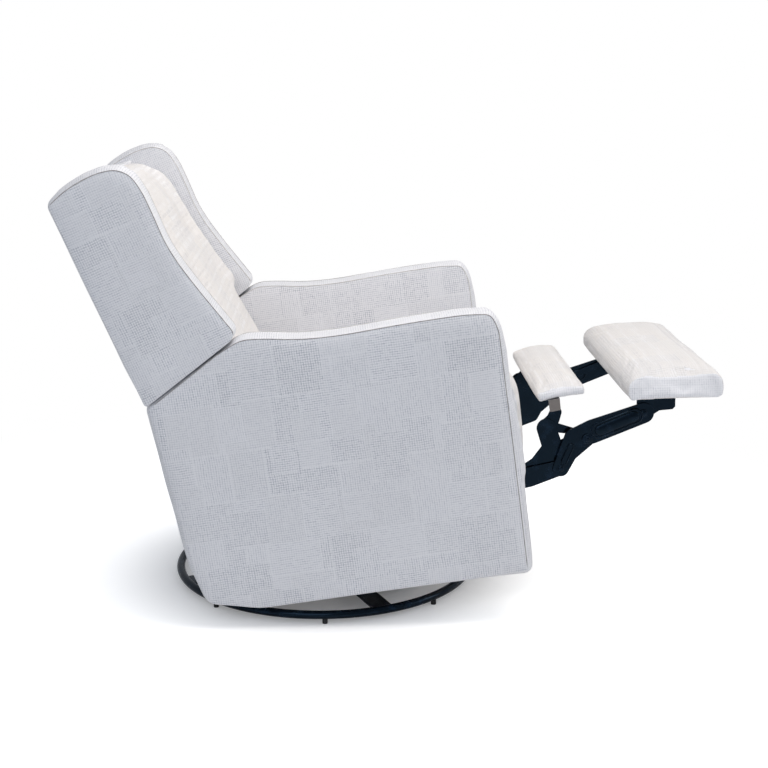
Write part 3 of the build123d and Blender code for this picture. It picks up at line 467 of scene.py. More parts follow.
@dataclass
class Slab:
    """A soft body between two side panels, with a strip of cloth running round between them.

    The strip is a grid: its point at outline length t and share w of the way across is
    outline(t) + normal(t) . crown(t) . (1 - |2w - 1|^power).  Each side panel is rings of the
    outline drawn in to its middle, standing puff . (1 - exp(-d / puff_reach)) proud of its seam,
    where d is the distance from the seam.

    Attributes:
        view: the side view its outline is drawn in.
        corners: the outline's corners.
        low: X of one seam.
        high: X of the other seam, which is the larger.
        middle: a point that sees all of the outline.
        power: how square the strip's arch is.
        puff: rise of a side panel over its seam.
        inner_puff: the same for the panel at high, or None where it is the same.
        puff_reach: how far from the seam the rise takes.
        uneven: height of the cloth's soft unevenness.
        wave, panel_wave: its wavelength on the strip and on the side panels.
        across_steps: faces across the strip.
        spacing: longest step round the outline.
        seed: picks the unevenness.
        calm_crown: the strip is smooth where its crown is no more than this.
        panel_face: a face whose normal has more than this share of X is part of a side panel.
        thread: radius of a seam's line.
        thread_proud: how far its middle stands out of the outline.
        drawn_in: how far towards the middle each ring of a side panel is drawn.
    """

    view: SideView
    corners: Sequence[Corner]
    low: float
    high: float
    middle: Point
    power: float = 2.4
    puff: float = 0.004
    inner_puff: float | None = None
    puff_reach: float = 0.010
    uneven: float = 0.0012
    wave: float = 0.16
    panel_wave: float = 0.2
    across_steps: int = 16
    spacing: float = 0.009
    seed: int = 1
    calm_crown: float = 0.003
    panel_face: float = 0.66
    thread: float = 0.0009
    thread_proud: float = 0.0002
    drawn_in: Sequence[float] = (
        0.004, 0.011, 0.022, 0.038, 0.062, 0.10, 0.16, 0.25, 0.36, 0.48, 0.61, 0.74, 0.87,
    )
    outline: Outline = field(init=False)

    def __post_init__(self) -> None:
        """Samples the outline."""
        self.outline = Outline(self.corners, self.spacing)

    def strip(self) -> Array:
        """The strip's points, one row for each step across, without the two seams' puff."""
        line = self.outline
        w = 0.5 - 0.5 * np.cos(np.linspace(0, math.pi, self.across_steps + 1))
        arch = 1 - np.abs(2 * w - 1) ** self.power
        x = np.broadcast_to((self.low + (self.high - self.low) * w)[:, None], (len(w), len(line.run)))
        waves = ripple(np.broadcast_to(line.run, x.shape), x, self.uneven, self.wave, self.seed)
        swell = line.crown * arch[:, None] + arch[:, None] * waves * (line.crown > self.calm_crown)
        flat = line.points + swell[..., None] * line.normals
        return self.view.place(flat[..., 0], flat[..., 1], x)

    def panel(self, x: float, sign: float, puff: float) -> Array:
        """Draws one side panel.

        Args:
            x: X of its seam.
            sign: which way along X it faces.
            puff: its rise over the seam.

        Returns:
            Its rings from the seam inwards, without the seam itself.
        """
        line = self.outline
        share = 1 - np.array(self.drawn_in)
        centre = np.array(self.middle)
        flat = centre + share[:, None, None] * (line.points - centre)
        gap, _ = line.nearest(flat[..., 0].ravel(), flat[..., 1].ravel())
        rise = 1 - np.exp(-gap.reshape(flat.shape[:2]) / self.puff_reach)
        waves = ripple(flat[..., 0], flat[..., 1], self.uneven, self.panel_wave, self.seed + 7)
        return self.view.place(flat[..., 0], flat[..., 1], x + sign * (puff * rise + rise * waves))

    def build(self, name: str, mirrored: bool = False) -> Piece:
        """Builds the closed mesh.

        Args:
            name: the piece's name.
            mirrored: true for the piece of the other side of the chair.

        Returns:
            The mesh object.
        """
        first = self.panel(self.low, -1.0, self.puff)[::-1]
        last = self.panel(self.high, 1.0, self.puff if self.inner_puff is None else self.inner_puff)
        rows = np.concatenate([first, self.strip(), last])
        count, around = rows.shape[:2]
        poles = np.stack([rows[0].mean(axis=0), rows[-1].mean(axis=0)])
        points = np.concatenate([rows.reshape(-1, 3), poles])
        if mirrored:
            points = points * MIRROR
        faces = grid_faces(count, around, False, True).tolist()
        j = np.arange(around)
        top, end = count * around, (count - 1) * around
        faces += np.stack([np.full(around, top), j, (j + 1) % around], axis=1).tolist()
        faces += np.stack([np.full(around, top + 1), end + (j + 1) % around, end + j], axis=1).tolist()
        obj = make_object(name, points, faces)
        face_outwards(obj)
        self.map_cloth(obj)
        return obj

    def map_cloth(self, obj: Piece) -> None:
        """Lays the cloth: side panels by forward and up, the strip by its length and X.

        Args:
            obj: the mesh to map.
        """
        mesh, line = obj.data, self.outline
        at = mesh_points(obj)
        forward, up = self.view.measure(at)
        parts = zip(np.array_split(forward, 8), np.array_split(up, 8))
        run = line.run[np.concatenate([line.nearest(*part)[1] for part in parts])]
        loops = read_rows(mesh.loops, "vertex_index", np.int64)
        totals = read_rows(mesh.polygons, "loop_total", np.int64)
        owner = np.repeat(np.arange(len(totals)), totals)
        is_side = (np.abs(read_rows(mesh.polygons, "normal", np.float32, 3)[:, 0]) > self.panel_face)[owner]
        along = run[loops]
        low, high = np.full(len(totals), np.inf), np.full(len(totals), -np.inf)
        np.minimum.at(low, owner, along)
        np.maximum.at(high, owner, along)
        crosses = (high - low > 0.5 * line.total)[owner]
        along = np.where(crosses, along - line.total * (along > 0.5 * line.total), along)
        x = at[loops, 0]
        u = np.where(is_side, forward[loops], x + STRIP_SHIFT)
        write_map(obj, u, np.where(is_side, up[loops] + SIDE_SHIFT * np.sign(x), along))

    def seam(self, name: str, x: float, indices: Array, mirrored: bool) -> Piece:
        """A sewn line along part of the outline.

        Args:
            name: the piece's name.
            x: X of the seam.
            indices: the outline samples it follows.
            mirrored: true for the other side of the chair.

        Returns:
            The mesh object.
        """
        out = self.outline.normals[indices]
        flat = self.outline.points[indices] + self.thread_proud * out
        path = self.view.place(flat[:, 0], flat[:, 1], x)
        ahead, lift = self.view.axes()
        if mirrored:
            path = path * MIRROR
        return tube(name, path, out[:, :1] * ahead + out[:, 1:] * lift, self.thread)


@dataclass(frozen=True)
class Stuffing:
    """How a padded piece is blown up by the cloth simulation.

    Attributes:
        voxel: size of the even mesh it is simulated on.
        pressure: pressure inside.
        cap: farthest a point may move.
        slack: share by which the cloth is larger than the form.
        frames: steps simulated.
    """

    voxel: float
    pressure: float
    cap: float
    slack: float = 0.0
    frames: int = 20

    def fill(self, obj: Piece, pinned: Array | None = None) -> None:
        """Simulates the cover of a closed piece and keeps the result in its mesh.

        Args:
            obj: the piece, which is remeshed evenly first.
            pinned: None, or an axis and a height: points below it along the axis stay put.
        """
        remesh = obj.modifiers.new("even", "REMESH")
        remesh.mode, remesh.voxel_size, remesh.use_smooth_shade = "VOXEL", self.voxel, True
        apply_modifiers(obj)
        self.simulate(obj, pinned)
        subdivide(obj)

    def simulate(self, obj: Piece, pinned: Array | None) -> None:
        """Runs the cloth and moves each point by at most cap.

        Args:
            obj: the piece.
            pinned: as for fill.
        """
        rest = mesh_points(obj)
        group = obj.vertex_groups.new(name="held")
        if pinned is not None:
            held = np.nonzero(rest @ pinned[:3] < pinned[3])[0]
            group.add(held.tolist(), 1.0, "REPLACE")
        cloth = obj.modifiers.new("cover", "CLOTH")
        settings = cloth.settings
        settings.quality, settings.mass = 5, 0.4
        settings.tension_stiffness = settings.compression_stiffness = 18
        settings.shear_stiffness, settings.bending_stiffness = 8, 0.6
        settings.use_pressure, settings.uniform_pressure_force = True, self.pressure
        settings.effector_weights.gravity = 0
        settings.shrink_min = -self.slack
        settings.vertex_group_mass = "held" if pinned is not None else ""
        cloth.point_cache.frame_start, cloth.point_cache.frame_end = 1, self.frames
        scene = bpy.context.scene
        for frame_number in range(1, self.frames + 1):
            scene.frame_set(frame_number)
        apply_modifiers(obj)
        scene.frame_set(1)
        moved = mesh_points(obj) - rest
        length = np.linalg.norm(moved, axis=1, keepdims=True)
        limited = moved * np.tanh(length / self.cap) * self.cap / np.maximum(length, 1e-9)
        set_points(obj, rest + limited)


# ---------------------------------------------------------------------------------- finishes


class Graph:
    """A small builder of shader node trees, whose values are output sockets or plain numbers."""

    def __init__(self, name: str) -> None:
        """Starts a material with a Principled shader.

        Args:
            name: the material's name.
        """
        self.material = bpy.data.materials.new(name)
        self.material.use_nodes = True
        self.tree = self.material.node_tree
        self.shader = self.tree.nodes["Principled BSDF"]

    def node(self, kind: str, **settings: object) -> bpy.types.ShaderNode:
        """Adds a node.

        Args:
            kind: its type, after the word that all shader nodes' types start with.
            settings: attributes to set on it.

        Returns:
            The node.
        """
        made = self.tree.nodes.new("ShaderNode" + kind)
        for key, value in settings.items():
            setattr(made, key, value)
        return made

    def feed(self, socket: Socket, value: object) -> None:
        """Links a socket to an output, or sets it to a plain value.

        Args:
            socket: the input.
            value: the output or the plain value.
        """
        if isinstance(value, Socket):
            self.tree.links.new(value, socket)
        else:
            socket.default_value = value

    def value(self, kind: str, inputs: dict, which: int | str = 0, **settings: object) -> Socket:
        """Adds a node and fills its inputs.

        Args:
            kind: its type, as for node.
            inputs: a value for each input's name or number.
            which: the name or number of the output wanted.
            settings: attributes to set on it.

        Returns:
            That output.
        """
        made = self.node(kind, **settings)
        for key, value in inputs.items():
            self.feed(made.inputs[key], value)
        return made.outputs[which]

    def calc(self, operation: str, *values: object, clamp: bool = False) -> Socket:
        """A Math node of this operation on up to three values."""
        return self.value("Math", dict(enumerate(values)), operation=operation, use_clamp=clamp)

    def times(self, a: object, b: object) -> Socket:
        """The product of two values."""
        return self.calc("MULTIPLY", a, b)

    def plus(self, a: object, b: object) -> Socket:
        """The sum of two values."""
        return self.calc("ADD", a, b)

    def line(self, value: object, slope: object, start: object) -> Socket:
        """The value times slope, plus start."""
        return self.calc("MULTIPLY_ADD", value, slope, start)

    def dot(self, a: object, b: object) -> Socket:
        """The dot product of two vectors."""
        return self.value("VectorMath", {0: a, 1: b}, "Value", operation="DOT_PRODUCT")

    def mix(self, share: object, a: object, b: object) -> Socket:
        """Mixes two colours by a share."""
        return self.value("Mix", {"Factor": share, 6: a, 7: b}, 2, data_type="RGBA")

    def blend(self, share: object, a: object, b: object) -> Socket:
        """Mixes two numbers by a share."""
        return self.value("Mix", {"Factor": share, 2: a, 3: b}, 0, data_type="FLOAT")

    def ramp(self, value: object, low: float, high: float, a: float = 0.0, b: float = 1.0) -> Socket:
        """A smooth step from a at low to b at high."""
        inputs = dict(enumerate((value, low, high, a, b)))
        return self.value("MapRange", inputs, interpolation_type="SMOOTHSTEP")

    def noise(self, vector: object, scale: float, detail: float = 2.0) -> Socket:
        """Noise of this scale over the vector."""
        return self.value("TexNoise", {"Vector": vector, "Scale": scale, "Detail": detail}, "Fac")

    def place(self) -> Socket:
        """The object coordinates."""
        return self.value("TexCoord", {}, "Object")

    def stretched(self, vector: object, scale: tuple[float, float, float]) -> Socket:
        """A vector scaled by three numbers."""
        return self.value("Mapping", {"Vector": vector, "Scale": scale})

    def cloth_map(self) -> tuple[Socket, Socket, Socket]:
        """The cloth map's vector and its two lengths."""
        found = self.node("UVMap", uv_map=CLOTH_MAP).outputs[0]
        parts = self.node("SeparateXYZ")
        self.feed(parts.inputs[0], found)
        return found, parts.outputs[0], parts.outputs[1]

    def chance(self, x: object, y: object, seed: float) -> tuple[Socket, ...]:
        """Draws random numbers for a pair of whole numbers.

        Args:
            x: first whole number.
            y: second whole number.
            seed: picks the draw.

        Returns:
            Three numbers from 0 to 1.
        """
        cell = self.value("CombineXYZ", {0: x, 1: y, 2: seed})
        parts = self.node("SeparateColor")
        self.feed(parts.inputs[0], self.value("TexWhiteNoise", {0: cell}, "Color", noise_dimensions="3D"))
        return tuple(parts.outputs)

    def bump(self, height: object, distance: float, strength: float = 1.0, normal: object = None) -> Socket:
        """A bumped normal from a height, over another normal if there is one."""
        under = {} if normal is None else {"Normal": normal}
        return self.value("Bump", {"Height": height, "Distance": distance, "Strength": strength, **under})

    def set(self, **values: object) -> None:
        """Sets or links the shader's sockets, named with _ for a space."""
        for key, value in values.items():
            self.feed(self.shader.inputs[key.replace("_", " ")], value)


def colour(red: int, green: int, blue: int) -> Colour:
    """A colour of three screen values from 0 to 255, as linear light."""
    line = [v / 255 / 12.92 if v <= 10 else ((v / 255 + 0.055) / 1.055) ** 2.4 for v in (red, green, blue)]
    return (*line, 1.0)


@dataclass(frozen=True)
class PatchCloth:
    """Woven upholstery cloth: patches of fine broken lines, some running along and some across.

    Three lattices of rectangles lie over each other.  Each row of a lattice is shifted and stretched
    by its own random numbers, and each rectangle draws its line direction and strength.  A thin pale
    border parts the rectangles.

    Attributes:
        name: the material's name.
        ground: colour between the lines.
        line: colour of the lines.
        thread: colour of the bright threads beside them.
        toned: colour that darker patches lean to.
        worn: colour of rubbed places.
        fuzzy: colour of loose fibres.
        panel_ground: None, or the colour between the lines on the side panels, made lighter there as painted
            light.
        force: how strong the lines are.
        strip_fade: share of the lines' strength lost on the strips between the side panels, as painted top
            light.
        pitch: distance between lines.
        dash: length of a dash with its gap.
        wander: how far the lines stray from straight.
        weave: distance between the threads of the fine weave.
        lattices: width, height and chance threshold of each lattice.
    """

    name: str = "patch_cloth"
    ground: Colour = colour(225, 225, 228)
    line: Colour = colour(108, 115, 138)
    thread: Colour = colour(247, 247, 249)
    toned: Colour = colour(219, 219, 221)
    worn: Colour = colour(209, 207, 208)
    fuzzy: Colour = colour(190, 189, 192)
    panel_ground: Colour | None = None
    force: float = 1.0
    strip_fade: float = 0.25
    pitch: float = 0.0051
    dash: float = 0.0098
    wander: float = 0.0036
    weave: float = 0.0018
    lattices: tuple[tuple[float, float, float], ...] = (
        (0.098, 0.078, 0.0),
        (0.082, 0.108, 0.50),
        (0.056, 0.064, 0.84),
    )

    def patches(self, g: Graph, u: object, v: object) -> list[Socket]:
        """Draws the patch that holds a place on the cloth.

        Args:
            g: the graph.
            u: first length of the cloth map.
            v: second length of the cloth map.

        Returns:
            Three random numbers for the patch, and the distance to its border.
        """
        picked: list[Socket] = []
        for number, (wide, high, above) in enumerate(self.lattices):
            rows = g.calc("DIVIDE", g.plus(v, 0.31 * number), high)
            row = g.calc("FLOOR", rows)
            slide, stretch, _ = g.chance(row, 0.0, 3.7 + number)
            width = g.line(stretch, 0.6 * wide, 0.7 * wide)
            columns = g.calc("DIVIDE", g.line(slide, wide, u), width)
            drawn = g.chance(row, g.calc("FLOOR", columns), 11.3 + number)
            side = g.times(g.calc("PINGPONG", columns, 0.5), width)
            border = g.calc("MINIMUM", side, g.times(g.calc("PINGPONG", rows, 0.5), high))
            if number == 0:
                picked = [*drawn, border]
                continue
            over = g.calc("GREATER_THAN", drawn[0], above)
            fresh = g.calc("FRACT", g.times(drawn[0], 17.3))
            for index, value in enumerate((fresh, drawn[1], drawn[2], border)):
                picked[index] = g.blend(over, picked[index], value)
        return picked

    def lines(self, g: Graph, across: object, along: object, seed: float) -> tuple[Socket, Socket]:
        """Draws one family of lines.

        Args:
            g: the graph.
            across: length square to the lines.
            along: length along them.
            seed: picks the dashes' strengths.

        Returns:
            The dark broken lines, each dash with a strength of its own, and the bright threads.
        """
        steps = g.calc("DIVIDE", across, self.pitch)
        wave = g.times(g.calc("PINGPONG", steps, 0.5), 2.0)
        count = g.calc("ROUND", steps)
        dashes = g.line(count, 0.37, g.calc("DIVIDE", along, self.dash))
        strong, _, _ = g.chance(count, g.calc("FLOOR", dashes), seed)
        gap = g.ramp(g.calc("PINGPONG", dashes, 0.5), 0.04, 0.14, 0.35, 1.0)
        dark = g.times(g.ramp(wave, 0.50, 0.14), g.times(gap, g.line(strong, 0.75, 0.25)))
        return dark, g.ramp(wave, 0.62, 0.95)

    def make(self) -> Material:
        """Builds the material."""
        g = Graph(self.name)
        found, u0, v0 = g.cloth_map()
        stray = g.line(g.noise(found, 26.0, 1.0), self.wander, -0.5 * self.wander)
        u, v = g.plus(u0, stray), g.calc("SUBTRACT", v0, stray)
        tone, turned, force, border = self.patches(g, u, v)
        lengthwise = g.calc("GREATER_THAN", turned, 0.54)
        dark_a, bright_a = self.lines(g, u, v, 5.1)
        dark_b, bright_b = self.lines(g, v, u, 9.4)
        dark, weak = g.blend(lengthwise, dark_a, dark_b), g.blend(lengthwise, dark_b, dark_a)
        both = g.calc("MAXIMUM", dark, g.times(weak, g.ramp(tone, 0.20, 0.90, 0.45, 1.0)))
        inside = g.ramp(border, 0.0002, 0.0014)
        # Painted light: the strips, mostly tops and fronts, get weaker lines and less toning so they read
        # lighter.
        on_strip = g.calc("GREATER_THAN", u0, STRIP_SHIFT / 2)
        held = g.line(on_strip, -self.strip_fade, 1.0)
        drawn = g.times(g.times(both, inside), g.line(force, 0.34 * self.force, 0.26 * self.force))
        strength = g.times(drawn, held)
        # Painted light: the side panels may take a lighter ground than the strips.
        ground = g.mix(on_strip, self.panel_ground or self.ground, self.ground)
        base = g.mix(g.times(tone, g.times(held, 0.45)), ground, self.toned)
        struck = g.mix(strength, base, self.line)
        bright = g.times(g.plus(bright_a, bright_b), 0.55)
        broken = g.times(bright, g.line(g.noise(found, 240.0, 1.0), 1.2, 0.3))
        pale = g.calc("MAXIMUM", broken, g.times(g.calc("SUBTRACT", 1.0, inside), 0.35))
        lit = g.mix(g.times(pale, g.line(force, 0.34, 0.36)), struck, self.thread)
        fuzz, faded = g.noise(found, 900.0, 3.0), g.noise(found, 4.0, 3.0)
        rubbed = g.mix(g.ramp(faded, 0.35, 0.75, 0.0, 0.13), lit, self.worn)
        final = g.mix(g.ramp(fuzz, 0.3, 0.7, 0.0, 0.10), rubbed, self.fuzzy)
        woven = g.times(*(g.calc("SINE", g.times(way, math.tau / self.weave)) for way in (u0, v0)))
        height = g.plus(g.line(woven, 0.25, g.times(strength, -0.9)), g.times(fuzz, 0.35))
        g.set(Base_Color=final, Roughness=0.88, Specular_IOR_Level=0.22)
        g.set(Sheen_Weight=0.18, Sheen_Roughness=0.45, Normal=g.bump(height, 0.0006, 0.6))
        return g.material


@dataclass(frozen=True)
class SeamShadeThread:
    """Sewn seam line: painted shade of the seam's groove, with short light stitches along it.

    Attributes:
        name: the material's name.
        valley: colour between the stitches, the painted shade of the seam's groove.
        stitch: colour of the stitches.
        step: distance from stitch to stitch.
    """

    name: str = "seam_thread"
    valley: Colour = colour(134, 128, 126)
    stitch: Colour = colour(172, 167, 164)
    step: float = 0.0042

    def make(self) -> Material:
        """Builds the material."""
        g = Graph(self.name)
        _, along, _ = g.cloth_map()
        saw = g.line(g.calc("FRACT", g.calc("DIVIDE", along, self.step)), 2.0, -1.0)
        stitch = g.ramp(g.calc("ABSOLUTE", saw), 0.25, 0.6)
        shade = g.noise(g.place(), 40.0)
        # Painted groove shade between the light stitches.
        base = g.mix(stitch, self.valley, self.stitch)
        g.set(Base_Color=g.mix(g.ramp(shade, 0.3, 0.7, 0.0, 0.3), base, self.valley), Roughness=0.9)
        g.set(Sheen_Weight=0.1, Normal=g.bump(stitch, 0.0004))
        return g.material


@dataclass(frozen=True)
class Enamel:
    """Gloss black enamel on pressed steel: worn, highlight-painted edges and painted blue reflection streaks.

    Attributes:
        name: the material's name.
        bare_view: None, or the view whose up direction bare_up is measured in.
        bare_up: height over which the steel is unpainted.
        deep: colour of the enamel.
        streaked: colour of its painted reflection streaks.
        rubbed: colour of its edges, partly worn enamel and partly a painted highlight.
        bare: colour of the unpainted steel.
        edge_reach: how far an edge's wear and painted highlight reach.
    """

    name: str = "black_enamel"
    bare_view: SideView | None = None
    bare_up: float = 0.0
    deep: Colour = (0.0008, 0.0014, 0.0028, 1.0)
    streaked: Colour = (0.0052, 0.0105, 0.0200, 1.0)
    rubbed: Colour = (0.045, 0.085, 0.145, 1.0)
    bare: Colour = (0.24, 0.215, 0.20, 1.0)
    edge_reach: float = 0.0011

    def make(self) -> Material:
        """Builds the material."""
        g = Graph(self.name)
        place = g.place()
        peel, cloud = g.noise(place, 260.0, 2.0), g.noise(place, 14.0, 4.0)
        scuff, streak = g.noise(place, 75.0, 5.0), g.noise(place, 34.0, 3.0)
        rounded = g.value("Bevel", {"Radius": self.edge_reach}, samples=6)
        apart = g.dot(rounded, g.value("NewGeometry", {}, "Normal"))
        # Bevelled edges broken by scuff noise: worn enamel that is also a painted edge highlight.
        edge = g.times(g.ramp(apart, 0.995, 0.90), g.ramp(scuff, 0.46, 0.68))
        # Painted reflection: blotchy blue streaks from the streak noise, mixed into the black.
        black = g.mix(g.ramp(streak, 0.50, 0.72), self.deep, self.streaked)
        # Edges lightened to the rubbed colour: partly wear, partly a painted highlight.
        body = g.mix(g.times(edge, 0.6), black, self.rubbed)
        rough = g.plus(g.ramp(cloud, 0.3, 0.75, 0.14, 0.28), g.times(edge, 0.2))
        metal: object = 0.0
        if self.bare_view is not None:
            lift = Vector(self.bare_view.axes()[1])
            start = self.bare_view.place(np.array(0.0), np.array(self.bare_up), 0.0)
            over = g.calc("SUBTRACT", g.dot(place, lift), float(np.dot(start, np.array(lift))))
            bare = g.ramp(g.line(scuff, 0.004, over), 0.0, 0.0016)
            body, metal = g.mix(bare, body, self.bare), g.times(bare, 0.75)
            rough = g.line(bare, 0.18, rough)
        g.set(Base_Color=body, Roughness=rough, Metallic=metal, Specular_IOR_Level=0.26)
        g.set(Specular_Tint=(0.30, 0.62, 1.0, 1.0), Coat_Weight=0.06, Coat_Roughness=0.05)
        g.set(Normal=g.bump(g.line(scuff, 0.3, peel), 0.00018, 0.8, rounded))
        return g.material


@dataclass(frozen=True)
class Zinc:
    """Dull bright steel with rolling marks and dark oil spots."""

    name: str = "zinc_steel"
    clean: Colour = (0.56, 0.56, 0.55, 1.0)
    oiled: Colour = (0.27, 0.26, 0.25, 1.0)

    def make(self) -> Material:
        """Builds the material."""
        g = Graph(self.name)
        place = g.place()
        marks = g.noise(g.stretched(place, (1.0, 22.0, 22.0)), 40.0, 4.0)
        base = g.mix(g.ramp(g.noise(place, 60.0, 4.0), 0.45, 0.75), self.clean, self.oiled)
        g.set(Base_Color=base, Metallic=1.0, Roughness=g.ramp(marks, 0.3, 0.7, 0.28, 0.48))
        g.set(Normal=g.bump(marks, 0.00012))
        return g.material


@dataclass(frozen=True)
class FrameWood:
    """Plain sawn hardwood: rings stretched along the board, saw marks and darker streaks."""

    name: str = "frame_wood"
    early: Colour = (0.44, 0.28, 0.14, 1.0)
    late: Colour = (0.60, 0.42, 0.24, 1.0)
    streak: Colour = (0.36, 0.22, 0.11, 1.0)
    pore: Colour = (0.25, 0.15, 0.08, 1.0)

    def make(self) -> Material:
        """Builds the material."""
        g = Graph(self.name)
        along = g.stretched(g.place(), (1.0, 0.12, 1.0))
        shape = {"Vector": along, "Scale": 26.0, "Distortion": 4.0, "Detail": 3.0}
        wave = g.value("TexWave", shape, "Fac", wave_type="RINGS", rings_direction="Y")
        bend, pores = g.noise(along, 9.0, 3.0), g.noise(along, 420.0, 3.0)
        base = g.mix(wave, self.early, self.late)
        base = g.mix(g.ramp(bend, 0.4, 0.7, 0.0, 0.5), base, self.streak)
        g.set(Base_Color=g.mix(g.ramp(pores, 0.5, 0.7, 0.0, 0.5), base, self.pore), Roughness=0.72)
        g.set(Normal=g.bump(g.plus(pores, wave), 0.0003))
        return g.material


@dataclass(frozen=True)
class Moulded:
    """Black moulded plastic with a fine leather-like grain and rubbed high spots."""

    name: str = "moulded_black"
    deep: Colour = (0.014, 0.014, 0.016, 1.0)
    rubbed: Colour = (0.032, 0.032, 0.034, 1.0)

    def make(self) -> Material:
        """Builds the material."""
        g = Graph(self.name)
        place = g.place()
        grain = g.value("TexVoronoi", {"Vector": place, "Scale": 900.0}, "Distance", feature="SMOOTH_F1")
        rub = g.noise(place, 30.0, 4.0)
        base = g.mix(g.ramp(rub, 0.4, 0.75), self.deep, self.rubbed)
        g.set(Base_Color=base, Roughness=g.ramp(rub, 0.3, 0.7, 0.42, 0.62), Specular_IOR_Level=0.4)
        g.set(Normal=g.bump(grain, 0.00015))
        return g.material


@dataclass
class Finishes:
    """Every finish of the chair, made once.

    Attributes:
        body_view: the chair's own side view.
        bare_up: height in it over which the small pad's brackets are unpainted.
    """

    body_view: SideView
    bare_up: float = 0.376
    cloth: Material = field(init=False)
    pad_cloth: Material = field(init=False)
    seam: Material = field(init=False)
    faint_shade_seam: Material = field(init=False)
    enamel: Material = field(init=False)
    tipped_enamel: Material = field(init=False)
    zinc: Material = field(init=False)
    wood: Material = field(init=False)
    moulded: Material = field(init=False)

    def __post_init__(self) -> None:
        """Makes the materials."""
        self.cloth = PatchCloth().make()
        # The pad cloth's lighter side panels and weaker strip lines are painted light.
        self.pad_cloth = PatchCloth(
            "pad_cloth",
            ground=colour(230, 225, 220),
            line=colour(132, 135, 150),
            panel_ground=colour(247, 246, 248),
            force=0.6,
            strip_fade=0.2,
        ).make()
        # The seam lines are painted groove shade: dark on the outer seams, fainter on the inner ones.
        self.seam = SeamShadeThread().make()
        self.faint_shade_seam = SeamShadeThread("faint_shade_seam", colour(186, 182, 178), colour(206, 203, 200)).make()
        self.enamel = Enamel().make()
        self.tipped_enamel = Enamel("tipped_enamel", self.body_view, self.bare_up).make()
        self.zinc = Zinc().make()
        self.wood = FrameWood().make()
        self.moulded = Moulded().make()


def wear(obj: Piece, material: Material) -> None:
    """Gives an object one material."""
    obj.data.materials.clear()
    obj.data.materials.append(material)


# ---------------------------------------------------------------------------------- the chair


@dataclass
class Chair:
    """What every sub-assembly shares: the views, the finishes and the way a piece is signed in.

    Attributes:
        level: side view whose forward axis is level, from the swivel axis.
        body: the chair's own side view, tilted as its seat slide is.
        back: view of the back, up its rear face from its heel.
        foot: view of the large pad, from its rear upper edge.
        flip: view of the small pad, from its rear upper edge.
        finishes: the materials.
    """

    frame: dict
    back_pose: tuple[float, float, float] = (-0.302, 0.545, 15.3)
    foot_pose: tuple[float, float, float] = (0.734, 0.441, -6.44)
    flip_pose: tuple[float, float, float] = (0.545, 0.418, 1.65)
    level: SideView = field(init=False)
    body: SideView = field(init=False)
    back: SideView = field(init=False)
    foot: SideView = field(init=False)
    flip: SideView = field(init=False)
    finishes: Finishes = field(init=False)

    def __post_init__(self) -> None:
        """Works out the side views from the frame's swivel axis and the slope of its seat slide."""
        low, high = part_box("swivel_spindle")
        slide = next(j for j in self.frame["joints"] if j["name"] == "recline")["axis"]
        self.level = SideView((low.y + high.y) / 2)
        self.body = self.level.inner((0.0, 0.0), math.degrees(math.atan2(slide[2], -slide[1])))
        self.back, self.foot, self.flip = (
            self.body.inner(pose[:2], pose[2]) for pose in (self.back_pose, self.foot_pose, self.flip_pose)
        )
        self.finishes = Finishes(self.body)

    def sign_in(
        self,
        obj: Piece,
        body: str,
        material: Material,
        replaces: Sequence[str] = (),
        fill: float | None = None,
        slot: str = "upholstery",
    ) -> None:
        """Gives a new piece its finish and its body, and hides the CAD nodes it stands for.

        Args:
            obj: the piece.
            body: the body it moves with.
            material: its finish.
            replaces: CAD nodes that it stands for.
            fill: None, or how tight a padded piece is; not used.
            slot: the record's material slot; not used.
        """
        wear(obj, material)
        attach(obj, body)
        if replaces:
            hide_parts(*replaces)
        LOG.info("%s on %s, %d faces", obj.name, body, len(obj.data.polygons))

    def upholster(self, name: str, slab: Slab, side: Side, body: str, sewn: tuple[Point, Point]) -> None:
        """Covers a padded board of one side and sews its outer and inner seams.

        Args:
            name: the board's name, without its side.
            slab: the cover, from its outer to its inner seam.
            side: the side it is on.
            body: the body it moves with.
            sewn: where on the outline the seams start and end.
        """
        mirrored = side is Side.LEFT
        cover = slab.build(f"{name}_cover_{side.word}", mirrored)
        self.sign_in(cover, body, self.finishes.cloth, [f"{name}_{side.word}"], 0.8)
        run = slab.outline.stretch(*sewn)
        # Each seam line is painted groove shade, fainter on the inner seam.
        seams = (("outer", slab.low, self.finishes.seam), ("inner", slab.high, self.finishes.faint_shade_seam))
        for edge, x, finish in seams:
            thread = slab.seam(f"{name}_seam_{edge}_{side.word}", x, run, mirrored)
            self.sign_in(thread, body, finish)


